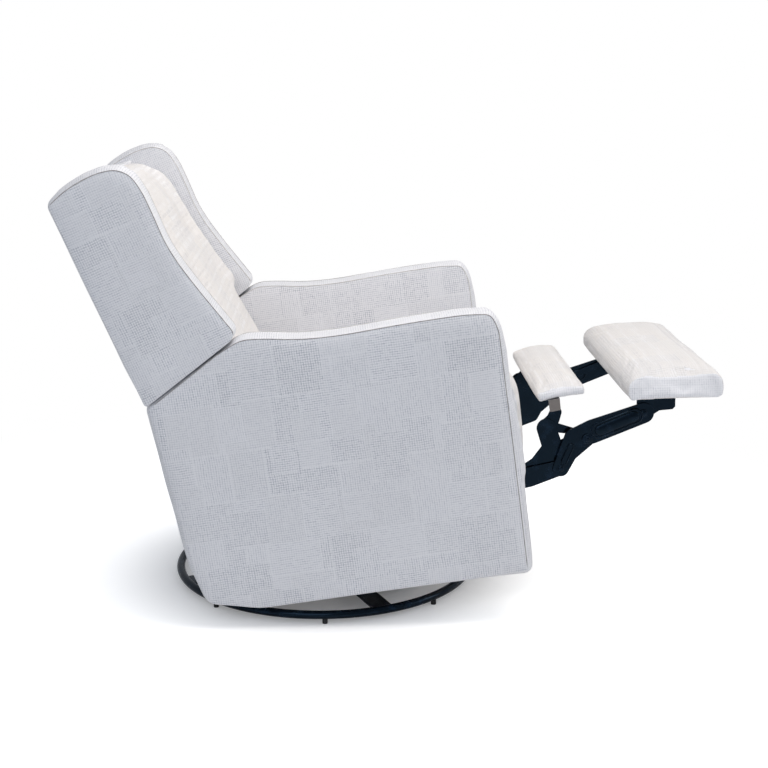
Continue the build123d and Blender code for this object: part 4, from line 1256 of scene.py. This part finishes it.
@dataclass
class Arms:
    """The two padded arms: flat side panels, and a crowned strip over the front and the top.

    Attributes:
        chair: the shared views and finishes.
        inner, outer: distances of the two seams from the middle.
        puff, inner_puff, puff_reach, uneven: see Slab.
        middle: a point that sees all of the outline.
        sewn: ends of the seams.
        corners: the outline.
    """

    chair: Chair
    inner: float = 0.2990
    outer: float = 0.3765
    puff: float = 0.0052
    inner_puff: float = 0.0035
    puff_reach: float = 0.013
    uneven: float = 0.0016
    middle: Point = (0.08, 0.35)
    sewn: tuple[Point, Point] = ((0.458, 0.072), (-0.285, 0.551))
    corners: tuple[Corner, ...] = (
        Corner(-0.131, 0.066, 0.020, 0.002),
        Corner(0.458, 0.066, 0.006, 0.015),
        Corner(0.4585, 0.220, 0.060, 0.019),
        Corner(0.4585, 0.330, 0.060, 0.024),
        Corner(0.4575, 0.520, 0.060, 0.014),
        Corner(0.4570, 0.610, 0.022, 0.010),
        Corner(0.4440, 0.644, 0.014, 0.008),
        Corner(0.3900, 0.6505, 0.025, 0.006),
        Corner(0.2670, 0.6495, 0.060, 0.004),
        Corner(0.1210, 0.6435, 0.060, 0.003),
        Corner(0.0390, 0.6470, 0.050, 0.003),
        Corner(-0.0300, 0.6590, 0.032, 0.003),
        Corner(-0.0800, 0.6640, 0.020, 0.003),
        Corner(-0.1300, 0.6425, 0.020, 0.001),
        Corner(-0.2980, 0.5430, 0.012, 0.009),
        Corner(-0.2730, 0.3200, 0.080, 0.015),
        Corner(-0.2670, 0.2170, 0.060, 0.015),
        Corner(-0.2440, 0.0940, 0.022, 0.010),
    )

    def build(self) -> None:
        """Builds both arms and their seams."""
        for side in Side:
            slab = Slab(
                self.chair.body,
                self.corners,
                -self.outer,
                -self.inner,
                self.middle,
                puff=self.puff,
                inner_puff=self.inner_puff,
                puff_reach=self.puff_reach,
                uneven=self.uneven,
                seed=11 + side.value,
            )
            self.chair.upholster("arm", slab, side, "chassis", self.sewn)


@dataclass
class Backrest:
    """The wings, the back cushion between them and the board panels behind.

    Attributes:
        chair: the shared views and finishes.
        wing_inner, wing_outer: distances of the wings' two seams from the middle.
        puff, inner_puff, puff_reach, uneven: see Slab, for the wings.
        wing_middle: a point that sees all of their outline.
        wing_sewn: ends of the wings' seams.
        cushion_half: half the cushion's width.
        cushion_middle: a point that sees all of its outline.
        stuffing: how the cushion is simulated.
        wing_start, wing_full: heights between which the cushion widens into the wings.
        spread: share by which it widens.
        sweep, sweep_from: how far its edges come forward, and from which distance off the middle.
        sweep_rear: depth where the sweep starts, and the depth it takes to grow full.
        sweep_top: height where the sweep ends, and the height it takes to die.
        board_depth: thickness of the padded boards.
        boards: name, half width, lowest and highest point of each padded board.
        bow_full, bow_wave: how far the boards' rear cloth bellies out, and its waves' height.
        bow_skin: depth of the cloth that does so.
        bow_edge, bow_end: how far in from a board's edges the waves, and the belly, grow full.
        strip_over: how far the top strip reaches past the cushion on each side.
        strip_middle: a point that sees all of the top strip's outline.
        wing_corners, cushion_corners, top_corners: the outlines.
    """

    chair: Chair
    wing_inner: float = 0.2975
    wing_outer: float = 0.3765
    puff: float = 0.0052
    inner_puff: float = 0.0045
    puff_reach: float = 0.014
    uneven: float = 0.0014
    wing_middle: Point = (0.10, 0.24)
    wing_sewn: tuple[Point, Point] = ((0.2335, 0.0725), (0.003, 0.4655))
    cushion_half: float = 0.2895
    cushion_middle: Point = (0.11, 0.14)
    stuffing: Stuffing = Stuffing(0.0085, 3.0, 0.005, 0.01)
    wing_start: float = 0.06
    wing_full: float = 0.11
    spread: float = 0.019
    sweep: float = 0.026
    sweep_from: float = 0.205
    sweep_rear: Point = (0.07, 0.05)
    sweep_top: Point = (0.50, 0.08)
    board_depth: float = 0.017
    boards: tuple[tuple[str, float, float, float], ...] = (
        ("back_outer_panel", 0.2955, 0.005, 0.470),
        ("back_skirt_panel", 0.2925, -0.193, 0.0015),
    )
    bow_full: float = 0.006
    bow_wave: float = 0.003
    bow_skin: float = 0.008
    bow_edge: float = 0.05
    bow_end: float = 0.03
    strip_over: float = 0.005
    strip_middle: Point = (0.045, 0.4705)
    wing_corners: tuple[Corner, ...] = (
        Corner(0.0, 0.0025, 0.010, 0.001),
        Corner(0.2260, 0.0632, 0.016, 0.001),
        Corner(0.2370, 0.0770, 0.012, 0.004),
        Corner(0.2255, 0.1210, 0.030, 0.003),
        Corner(0.2110, 0.1740, 0.040, 0.003),
        Corner(0.1930, 0.2500, 0.040, 0.003),
        Corner(0.1855, 0.3040, 0.035, 0.003),
        Corner(0.1870, 0.3550, 0.030, 0.003),
        Corner(0.1870, 0.4180, 0.024, 0.003),
        Corner(0.1790, 0.4570, 0.020, 0.005),
        Corner(0.1560, 0.4790, 0.020, 0.008),
        Corner(0.1190, 0.4865, 0.025, 0.010),
        Corner(0.0800, 0.4850, 0.025, 0.011),
        Corner(0.0410, 0.4790, 0.025, 0.011),
        Corner(0.0, 0.4645, 0.008, 0.008),
        Corner(0.0, 0.3900, 0.030, 0.008),
        Corner(0.0, 0.1500, 0.060, 0.008),
    )
    cushion_corners: tuple[Corner, ...] = (
        Corner(0.054, -0.188, 0.010, 0.0),
        Corner(0.182, -0.188, 0.020, 0.003),
        Corner(0.196, -0.110, 0.040, 0.012),
        Corner(0.198, -0.030, 0.040, 0.012),
        Corner(0.186, 0.070, 0.050, 0.014),
        Corner(0.163, 0.180, 0.050, 0.014),
        Corner(0.143, 0.300, 0.050, 0.012),
        Corner(0.129, 0.400, 0.060, 0.010),
        Corner(0.098, 0.467, 0.042, 0.008),
        Corner(0.050, 0.468, 0.010, 0.009),
    )
    top_corners: tuple[Corner, ...] = (
        Corner(0.0030, 0.4630, 0.003, 0.0),
        Corner(0.0860, 0.4630, 0.003, 0.0),
        Corner(0.0900, 0.4720, 0.006, 0.001),
        Corner(0.0600, 0.4765, 0.020, 0.002),
        Corner(0.0200, 0.4750, 0.014, 0.002),
        Corner(0.0020, 0.4690, 0.006, 0.001),
    )

    def wings(self) -> None:
        """Builds both wings and their seams."""
        for side in Side:
            slab = Slab(
                self.chair.back,
                self.wing_corners,
                -self.wing_outer,
                -self.wing_inner,
                self.wing_middle,
                puff=self.puff,
                inner_puff=self.inner_puff,
                puff_reach=self.puff_reach,
                uneven=self.uneven,
                seed=31 + side.value,
            )
            self.chair.upholster("wing", slab, side, "back", self.wing_sewn)

    def cushion(self) -> None:
        """Builds the back cushion, blown up by simulation."""
        slab = Slab(
            self.chair.back, self.cushion_corners, -self.cushion_half, self.cushion_half, self.cushion_middle,
            power=5.0, puff=0.001, uneven=0.004, across_steps=44, spacing=0.012, seed=41,
        )
        obj = slab.build("back_cushion_cover")
        self.widen(obj)
        self.stuffing.fill(obj)
        slab.map_cloth(obj)
        self.chair.sign_in(obj, "back", self.chair.finishes.pad_cloth, ["back_cushion"], 0.75)

    def widen(self, obj: Piece) -> None:
        """Spreads the cushion to the wings above the arms, and sweeps its edges forward into them.

        Both grow smoothly from wing_start to wing_full.  The front edge comes forward by
        sweep . s^2(3 - 2s), where s is the share of the way from sweep_from to the wing, and this dies
        towards the cushion's rear and its top.

        Args:
            obj: the cushion.
        """
        at = mesh_points(obj)
        depth, up = self.chair.back.measure(at)
        share = smooth_step(up, self.wing_start, self.wing_full)
        side = smooth_step(np.abs(at[:, 0]), self.sweep_from, self.cushion_half + 0.0005)
        (rear, rear_run), (top, top_run) = self.sweep_rear, self.sweep_top
        front = np.clip((depth - rear) / rear_run, 0, 1) * np.clip((top - up) / top_run, 0, 1)
        at[:, 0] *= 1 + self.spread * share
        ahead, _ = self.chair.back.axes()
        set_points(obj, at + (self.sweep * side * share * front)[:, None] * ahead)

    def panels(self) -> None:
        """Builds the padded boards behind and the strip that closes the top of the back."""
        chair, depth = self.chair, self.board_depth
        for name, half, low, high in self.boards:
            corners = (
                Corner(0.0005, low, 0.005),
                Corner(depth, low, 0.003),
                Corner(depth, high, 0.003),
                Corner(0.0005, high, 0.005),
            )
            slab = Slab(
                chair.back, corners, -half, half, (depth / 2, (low + high) / 2), power=8.0, puff=0.0006,
                puff_reach=0.004, across_steps=48, spacing=0.016, uneven=0.0,
            )
            obj = slab.build(name + "_cover")
            self.bow(obj, low, high, half)
            slab.map_cloth(obj)
            chair.sign_in(obj, "back", chair.finishes.cloth, [name], 0.3)
        half = self.cushion_half + self.strip_over
        strip = Slab(
            chair.back, self.top_corners, -half, half, self.strip_middle, power=8.0, puff=0.0006,
            puff_reach=0.004, across_steps=48, spacing=0.006, uneven=0.0008, seed=43,
        )
        chair.sign_in(strip.build("back_top_strip"), "back", chair.finishes.cloth)

    def bow(self, obj: Piece, low: float, high: float, half: float) -> None:
        """Fills a board's rear cloth out by bow_full in its middle, with waves of bow_wave.

        The belly is (1 - |X| / half)^0.5 and the wave (1 + sin(16X + 1.3) . sin 11up) / 2.  Both die at
        the board's edges.

        Args:
            obj: the board's cover.
            low: its lowest point.
            high: its highest point.
            half: half its width.
        """
        at = mesh_points(obj)
        depth, up = self.chair.back.measure(at)
        x = np.abs(at[:, 0])
        inward = np.minimum(up - low, high - up)
        rear = np.clip(1 - depth / self.bow_skin, 0, 1)
        edge = np.clip(inward / self.bow_edge, 0, 1) * np.clip((half - x) / self.bow_edge, 0, 1)
        wave = 0.5 + 0.5 * np.sin(at[:, 0] * 16.0 + 1.3) * np.sin(up * 11.0)
        ends = np.clip((up - low) / self.bow_end, 0, 1) * np.clip((high - up) / self.bow_end, 0, 1)
        belly = np.clip(1 - x / half, 0, 1) ** 0.5 * ends
        ahead, _ = self.chair.back.axes()
        set_points(obj, at - (rear * (edge * self.bow_wave * wave + self.bow_full * belly))[:, None] * ahead)

    def build(self) -> None:
        """Builds the whole back."""
        self.wings()
        self.cushion()
        self.panels()


@dataclass
class Seat:
    """The seat cushion with its front lip, and the apron behind the seat.

    Attributes:
        chair: the shared views and finishes.
        half: half the cushion's width.
        middle: a point that sees all of its outline.
        stuffing: how it is simulated.
        corners: its outline.
        apron_half: half the apron's width.
        apron_thick: its thickness.
        apron_low, apron_top: forward and up of its rear lower and rear upper edge.
    """

    chair: Chair
    half: float = 0.2895
    middle: Point = (0.22, 0.425)
    stuffing: Stuffing = Stuffing(0.0085, 3.0, 0.006, 0.01)
    corners: tuple[Corner, ...] = (
        Corner(-0.060, 0.3555, 0.012, 0.0),
        Corner(0.4635, 0.3555, 0.004, 0.0),
        Corner(0.4635, 0.2985, 0.006, 0.0),
        Corner(0.4860, 0.3000, 0.010, 0.001),
        Corner(0.4905, 0.3600, 0.030, 0.003),
        Corner(0.4905, 0.4450, 0.040, 0.005),
        Corner(0.4700, 0.4880, 0.030, 0.008),
        Corner(0.4000, 0.4960, 0.050, 0.014),
        Corner(0.1800, 0.4980, 0.090, 0.020),
        Corner(-0.0350, 0.4900, 0.040, 0.012),
        Corner(-0.0600, 0.4800, 0.020, 0.004),
    )
    apron_half: float = 0.2975
    apron_thick: float = 0.019
    apron_low: Point = (-0.2435, 0.094)
    apron_top: Point = (-0.2710, 0.322)

    def build(self) -> None:
        """Builds the cushion, blown up by simulation, and the apron."""
        chair = self.chair
        slab = Slab(
            chair.body, self.corners, -self.half, self.half, self.middle,
            power=5.0, puff=0.001, uneven=0.005, across_steps=44, spacing=0.012, seed=51,
        )
        obj = slab.build("seat_cushion_cover")
        self.stuffing.fill(obj)
        slab.map_cloth(obj)
        chair.sign_in(obj, "seat", chair.finishes.pad_cloth, ["seat_cushion"], 0.7)
        (rear_low, low), (rear_top, top), thick = self.apron_low, self.apron_top, self.apron_thick
        corners = (
            Corner(rear_low, low, 0.006),
            Corner(rear_low + thick, low, 0.003),
            Corner(rear_top + thick, top, 0.003),
            Corner(rear_top, top, 0.006),
        )
        middle = ((rear_low + rear_top + thick) / 2, (low + top) / 2)
        apron = Slab(
            chair.body, corners, -self.apron_half, self.apron_half, middle, power=8.0,
            puff=0.0002, puff_reach=0.004, across_steps=40, spacing=0.016, uneven=0.0,
        )
        chair.sign_in(apron.build("rear_apron_cover"), "chassis", chair.finishes.cloth, ["rear_apron"], 0.3)


@dataclass(frozen=True)
class Pad:
    """One pad of the leg rest.

    Attributes:
        node: the CAD node it stands for, which its own name starts with.
        body: the body it moves with.
        half: half its width.
        middle: a point that sees all of its outline.
        base: height of its flat underside in its view.
        stuffing: how it is simulated.
        corners: its outline.
    """

    node: str
    body: str
    half: float
    middle: Point
    base: float
    stuffing: Stuffing
    corners: tuple[Corner, ...]


@dataclass
class LegRest:
    """The two pads of the leg rest.

    Attributes:
        chair: the shared views and finishes.
        foot: the large pad.
        flip: the small pad.
        held: height over the underside up to which the cloth is held on its board.
        room: half the width that the arms leave a pad.
        ear_drop: how far a large pad's folded corners hang.
        ear_reach: how far they reach from an end, from a side and over the underside.
    """

    chair: Chair
    foot: Pad = Pad(
        "footrest_pad", "footrest", 0.2930, (0.11, -0.024), -0.0485, Stuffing(0.0055, 4.0, 0.006),
        (
            Corner(0.002, -0.0485, 0.014, 0.0),
            Corner(0.1930, -0.0485, 0.020, 0.0),
            Corner(0.2140, -0.0440, 0.018, 0.002),
            Corner(0.2175, -0.0160, 0.016, 0.004),
            Corner(0.2060, 0.0040, 0.018, 0.006),
            Corner(0.1200, 0.0035, 0.040, 0.014),
            Corner(0.0200, 0.0020, 0.024, 0.008),
            Corner(0.0000, -0.0120, 0.020, 0.004),
        ),
    )
    flip: Pad = Pad(
        "flipper_pad", "flipper", 0.2235, (0.052, -0.008), -0.0165, Stuffing(0.0045, 3.0, 0.003),
        (
            Corner(-0.005, -0.0165, 0.008, 0.001),
            Corner(0.1010, -0.0165, 0.006, 0.0005),
            Corner(0.1025, 0.0015, 0.013, 0.003),
            Corner(0.052, 0.0070, 0.030, 0.010),
            Corner(-0.006, 0.0020, 0.014, 0.004),
        ),
    )
    held: float = 0.003
    room: float = 0.2936
    ear_drop: float = 0.0055
    ear_reach: tuple[float, float, float] = (0.018, 0.014, 0.012)

    def pad(self, made: Pad, view: SideView) -> None:
        """Builds one pad, held flat on its board, blown up by simulation and drawn in between the arms.

        Args:
            made: the pad's sizes.
            view: its side view.
        """
        slab = Slab(
            view, made.corners, -made.half, made.half, made.middle, power=9.0, puff=0.0035, puff_reach=0.010,
            uneven=0.0016, across_steps=60, spacing=0.006, seed=61,
        )
        obj = slab.build(made.node + "_cover")
        lift = view.axes()[1]
        floor = float(view.place(np.array(0.0), np.array(made.base + self.held), 0.0) @ lift)
        made.stuffing.fill(obj, np.append(lift, floor))
        at = mesh_points(obj)
        at[:, 0] *= min(1.0, self.room / float(np.abs(at[:, 0]).max()))
        set_points(obj, at)
        self.ears(obj, made, view)
        slab.map_cloth(obj)
        self.chair.sign_in(obj, made.body, self.chair.finishes.pad_cloth, [made.node], 0.8)

    def ears(self, obj: Piece, made: Pad, view: SideView) -> None:
        """Draws the four lower corners down where the cloth is folded under.

        The drop is ear_drop . exp(-(a^2 + b^2 + c^2)), where a is the distance from the nearest end, b
        from the nearest side and c the height over the underside, each as a share of its ear_reach.

        Args:
            obj: the pad's cover.
            made: its sizes.
            view: its side view.
        """
        at = mesh_points(obj)
        forward, up = view.measure(at)
        length = max(c.forward for c in made.corners)
        far = (np.minimum(forward, length - forward), made.half - np.abs(at[:, 0]), up - made.base)
        square = sum((np.clip(gap, 0, None) / reach) ** 2 for gap, reach in zip(far, self.ear_reach))
        drop = self.ear_drop * min(1.0, length / 0.2) * np.exp(-square)
        set_points(obj, at - drop[:, None] * view.axes()[1])

    def build(self) -> None:
        """Builds both pads."""
        self.pad(self.foot, self.chair.foot)
        self.pad(self.flip, self.chair.flip)


@dataclass(frozen=True)
class Channel:
    """A rounded band on a link: all points within wide of the line from first to last.

    Attributes:
        name: the piece's name.
        first, last: ends of the line in the body's view.
        wide: half the band's width.
        x: distance of its foot from the middle.
        thick: radius of the bead round it, or height of the rib that fills it.
    """

    name: str
    first: Point
    last: Point
    wide: float
    x: float
    thick: float

    def ring(self, count: int) -> tuple[Array, Array]:
        """Walks round the band's edge.

        Args:
            count: points round each end.

        Returns:
            For each point, the end of the line it turns round and its unit direction from there.
        """
        a, b = np.array(self.first), np.array(self.last)
        ahead = (b - a) / np.hypot(*(b - a))
        square = np.array([-ahead[1], ahead[0]])
        turn = np.linspace(-math.pi / 2, math.pi / 2, count)[:, None]
        out = np.cos(turn) * ahead + np.sin(turn) * square
        return np.repeat([b, a], count, axis=0), np.vstack([out, -out])


@dataclass(frozen=True)
class Rivet:
    """A domed rivet head on a link.

    Attributes:
        name: the piece's name.
        at: its place in the body's view.
        x: distance of its foot from the middle.
        radius: its radius.
        height: its height.
    """

    name: str
    at: Point
    x: float
    radius: float
    height: float


@dataclass
class Linkage:
    """Rolled beads, pressed ribs and domed rivets that dress the long links of the leg rest.

    Attributes:
        chair: the shared views and finishes.
        around: points round a rib or a rivet.
        beads: the rolled beads.
        swell: the pressed rib.
        rivets: the rivets.
    """

    chair: Chair
    around: int = 28
    beads: tuple[Channel, ...] = (
        Channel("channel_bead", (0.6660, 0.3200), (0.7500, 0.3420), 0.0158, 0.2450, 0.0021),
        Channel("elbow_bead", (0.5800, 0.2580), (0.6000, 0.2920), 0.0055, 0.2450, 0.0016),
        Channel("inner_channel_bead", (0.6680, 0.3205), (0.7080, 0.3310), 0.0130, 0.2375, 0.0021),
    )
    swell: Channel = Channel("channel_rib", (0.6690, 0.3208), (0.7470, 0.3412), 0.0128, 0.2448, 0.0042)
    rivets: tuple[Rivet, ...] = (
        Rivet("crossing_boss", (0.638, 0.304), 0.2440, 0.0120, 0.0022),
        Rivet("crossing_rivet", (0.638, 0.304), 0.2455, 0.0066, 0.0026),
        Rivet("elbow_rivet", (0.572, 0.243), 0.2436, 0.0072, 0.0026),
        Rivet("foot_rivet", (0.770, 0.345), 0.2436, 0.0072, 0.0026),
    )

    def bead(self, shape: Channel, side: Side) -> Piece:
        """Builds a closed bead round a band.

        Args:
            shape: the band.
            side: the side it is on.

        Returns:
            The mesh object.
        """
        base, out = shape.ring(12)
        flat = base + shape.wide * out
        view = self.chair.body
        forward, lift = view.axes()
        outward = out[:, :1] * forward + out[:, 1:] * lift
        path = view.place(flat[:, 0], flat[:, 1], side.value * shape.x)
        return tube(f"{shape.name}_{side.word}", path, outward, shape.thick, True)

    def dome(
        self,
        name: str,
        base: Array,
        out: Array,
        wide: float,
        x: float,
        high: float,
        tilt: Array,
        side: Side,
    ) -> Piece:
        """A dome: its ring at angle a is wide . cos a across and stands high . sin a out of x.

        Args:
            name: the piece's name, without its side.
            base: the point each ring point turns round.
            out: its unit direction from there.
            wide: radius of the foot.
            x: distance of the foot from the middle.
            high: height of the top.
            tilt: the rings' angles.
            side: the side it is on.

        Returns:
            The mesh object.
        """
        angle = tilt[:, None, None] * math.pi / 2
        flat = base + wide * np.cos(angle) * out
        rise = np.broadcast_to(side.value * (x + high * np.sin(angle[..., 0])), flat.shape[:2])
        points = self.chair.body.place(flat[..., 0], flat[..., 1], rise)
        rings, count = flat.shape[:2]
        faces = grid_faces(rings, count, False, True).tolist()
        faces += [list(range(count)), list(range((rings - 1) * count, rings * count))[::-1]]
        obj = make_object(f"{name}_{side.word}", points, faces)
        face_outwards(obj)
        return obj

    def rib(self, shape: Channel, side: Side) -> Piece:
        """A pressed rib that fills a band."""
        (base, out), tilt = shape.ring(self.around // 2), np.linspace(0, 0.96, 9)
        return self.dome(shape.name, base, out, shape.wide, shape.x, shape.thick, tilt, side)

    def rivet(self, shape: Rivet, side: Side) -> Piece:
        """Builds a rivet head.

        Args:
            shape: the rivet.
            side: the side it is on.

        Returns:
            The mesh object.
        """
        turn = np.arange(self.around) * math.tau / self.around
        out = np.stack([np.cos(turn), np.sin(turn)], axis=1)
        base, tilt = np.array(shape.at), np.linspace(0, 0.97, 7)
        return self.dome(shape.name, base, out, shape.radius, shape.x, shape.height, tilt, side)

    def build(self) -> None:
        """Builds every bead, rib and rivet on both sides."""
        for side in Side:
            made = [self.bead(shape, side) for shape in self.beads]
            made.append(self.rib(self.swell, side))
            made += [self.rivet(shape, side) for shape in self.rivets]
            for obj in made:
                self.chair.sign_in(obj, "long_links", self.chair.finishes.enamel, slot="black_steel")


@dataclass
class Hardware:
    """The finish of every CAD piece that stays in view."""

    chair: Chair

    def build(self) -> None:
        """Finds each node's slot in the record and gives it that finish."""
        f = self.chair.finishes
        by_slot = {
            "black_steel": f.enamel,
            "bare_steel": f.zinc,
            "frame_wood": f.wood,
            "nylon": f.moulded,
            "handle_plastic": f.moulded,
            "upholstery": f.cloth,
        }
        for row in self.chair.frame["record"]["subparts"]:
            node = row["node"]
            tipped = node.startswith("flipper_bracket")
            finish = f.tipped_enamel if tipped else by_slot[row["material_slot"]]
            wear(self.chair.frame["nodes"][node], finish)


# ---------------------------------------------------------------------------------- the studio


@dataclass(frozen=True)
class Lamp:
    """A square soft lamp.

    Attributes:
        name: its name.
        at: its place.
        aim: the point it faces.
        size: its side.
        power: its power in watts.
        tint: its colour.
    """

    name: str
    at: tuple[float, float, float]
    aim: tuple[float, float, float]
    size: float
    power: float
    tint: tuple[float, float, float]

    def light(self) -> None:
        """Adds the lamp to the scene."""
        data = bpy.data.lights.new(self.name, "AREA")
        data.shape, data.size, data.energy, data.color = "SQUARE", self.size, self.power, self.tint
        obj = bpy.data.objects.new(self.name, data)
        obj.location = self.at
        obj.rotation_euler = (Vector(self.aim) - Vector(self.at)).to_track_quat("-Z", "Y").to_euler()
        bpy.context.scene.collection.objects.link(obj)


@dataclass
class Studio:
    """The pale floor, the soft lights and the camera of the picture.

    Attributes:
        level: the level side view.
        focal, sensor: the lens and the width of the picture it throws.
        camera_forward, camera_across, camera_up: the camera's place in the level view.
        yaw, pitch, roll: degrees it looks forward, down and tilted.
        floor_half: half the floor's side.
        held_back: share of the glow that the floor near the chair goes without.
        held_under: the same right under the chair, which paints a darker contact shadow there.
        under: distances from the swivel axis between which held_under falls to held_back.
        fade: distances between which the shaded share falls to nothing.
        room_light, room_tint: strength and colour of the even light.
        lamps: the soft lamps.
    """

    level: SideView
    focal: float = 66.52
    sensor: float = 36.0
    camera_forward: float = 0.01996
    camera_across: float = -3.2929
    camera_up: float = 1.24527
    yaw: float = 2.1461
    pitch: float = 13.3976
    roll: float = 0.07
    floor_half: float = 30.0
    held_back: float = 0.27
    held_under: float = 0.92
    under: Point = (0.24, 0.62)
    fade: Point = (0.70, 1.6)
    room_light: float = 0.40
    room_tint: Colour = (0.89, 0.93, 1.0, 1.0)
    lamps: tuple[Lamp, ...] = (
        Lamp("overhead", (0.0, -0.7, 3.2), (0.0, -0.1, 0.3), 3.0, 40.0, (1.0, 0.960, 0.915)),
        Lamp("over_arm", (-0.50, -0.15, 2.3), (0.20, 0.1, 0.5), 0.8, 13.0, (1.0, 0.960, 0.915)),
        Lamp("camera_side", (-3.4, 1.0, 2.0), (0.0, 0.0, 0.5), 2.2, 24.0, (0.80, 0.88, 1.0)),
        Lamp("front", (-0.8, -3.4, 1.6), (0.0, -0.3, 0.4), 1.6, 22.0, (0.96, 0.975, 1.0)),
    )

    def camera(self) -> None:
        """Places the camera at the picture's own viewing angle."""
        data = bpy.data.cameras.new("camera")
        data.lens, data.sensor_width, data.sensor_fit = self.focal, self.sensor, "HORIZONTAL"
        obj = bpy.data.objects.new("camera", data)
        bpy.context.scene.collection.objects.link(obj)
        yaw, pitch = math.radians(self.yaw), math.radians(self.pitch)
        look = Vector((math.cos(yaw) * math.cos(pitch), -math.sin(yaw) * math.cos(pitch), -math.sin(pitch)))
        right = look.cross(Vector((0, 0, 1))).normalized()
        over = right.cross(look)
        turn = Matrix((right, over, -look)).transposed().to_4x4()
        at = (self.camera_across, self.level.swivel_y - self.camera_forward, self.camera_up)
        obj.matrix_world = Matrix.Translation(at) @ turn @ Matrix.Rotation(math.radians(self.roll), 4, "Z")
        bpy.context.scene.camera = obj

    def floor(self) -> None:
        """Lays a wide white floor that keeps the chair's shadow near it and fades out beyond.

        The shaded share falls from one to nothing over the fade distances from the swivel axis, and
        what is left out is made up by glow that only the camera sees.  The glow is weakest under the
        chair, which paints a darker contact shadow there.
        """
        corners = self.floor_half * np.array([[-1, -1, 0], [1, -1, 0], [1, 1, 0], [-1, 1, 0]], float)
        obj = make_object("studio_floor", corners, [[0, 1, 2, 3]], smooth=False)
        g = Graph("studio_floor")
        place = g.place()
        axis = (0.0, self.level.swivel_y, 0.0)
        away = g.value("VectorMath", {0: place, 1: axis}, "Value", operation="DISTANCE")
        near = g.ramp(away, *self.fade, 1.0, 0.0)
        pale = g.mix(g.ramp(g.noise(place, 3.0), 0.3, 0.7), (0.86, 0.86, 0.86, 1), (0.87, 0.87, 0.87, 1))
        path = g.node("LightPath").outputs
        seen = g.calc("ADD", path["Is Camera Ray"], path["Is Transmission Ray"], clamp=True)
        shaded = g.blend(path["Is Camera Ray"], 1.0, near)
        g.set(Base_Color=g.mix(shaded, (0, 0, 0, 1), pale), Roughness=0.9, Specular_IOR_Level=0.0)
        # Painted contact shadow: the glow is held back most right under the chair.
        held = g.ramp(away, *self.under, self.held_under, self.held_back)
        glow = g.times(seen, g.calc("SUBTRACT", 1.0, g.times(near, held)))
        g.set(Emission_Color=(1, 1, 1, 1), Emission_Strength=glow)
        wear(obj, g.material)

    def world(self) -> None:
        """Sets the even light of the room, and white where the camera sees past the floor."""
        world = bpy.data.worlds.new("studio")
        bpy.context.scene.world = world
        world.use_nodes = True
        nodes, links = world.node_tree.nodes, world.node_tree.links
        path, add = nodes.new("ShaderNodeLightPath").outputs, nodes.new("ShaderNodeMath")
        add.operation, add.use_clamp = "ADD", True
        links.new(path["Is Camera Ray"], add.inputs[0])
        links.new(path["Is Transmission Ray"], add.inputs[1])
        level, tint = nodes.new("ShaderNodeMapRange"), nodes.new("ShaderNodeMix")
        level.inputs["To Min"].default_value, level.inputs["To Max"].default_value = self.room_light, 1.0
        tint.data_type = "RGBA"
        tint.inputs[6].default_value, tint.inputs[7].default_value = self.room_tint, (1, 1, 1, 1)
        links.new(add.outputs[0], level.inputs["Value"])
        links.new(add.outputs[0], tint.inputs[0])
        links.new(level.outputs[0], nodes["Background"].inputs["Strength"])
        links.new(tint.outputs[2], nodes["Background"].inputs["Color"])

    def build(self) -> None:
        """Builds the whole studio."""
        self.camera()
        self.floor()
        self.world()
        for lamp in self.lamps:
            lamp.light()
        bpy.context.scene.view_settings.view_transform = "Standard"


def main() -> None:
    """Builds the studio and the dressed chair around the frame."""
    logging.basicConfig(level=logging.INFO, format="%(name)s: %(message)s")
    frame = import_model()
    chair = Chair(frame)
    Studio(chair.level).build()
    Hardware(chair).build()
    for part in (Arms(chair), Backrest(chair), Seat(chair), LegRest(chair), Linkage(chair)):
        part.build()


if __name__ == "__main__":
    main()
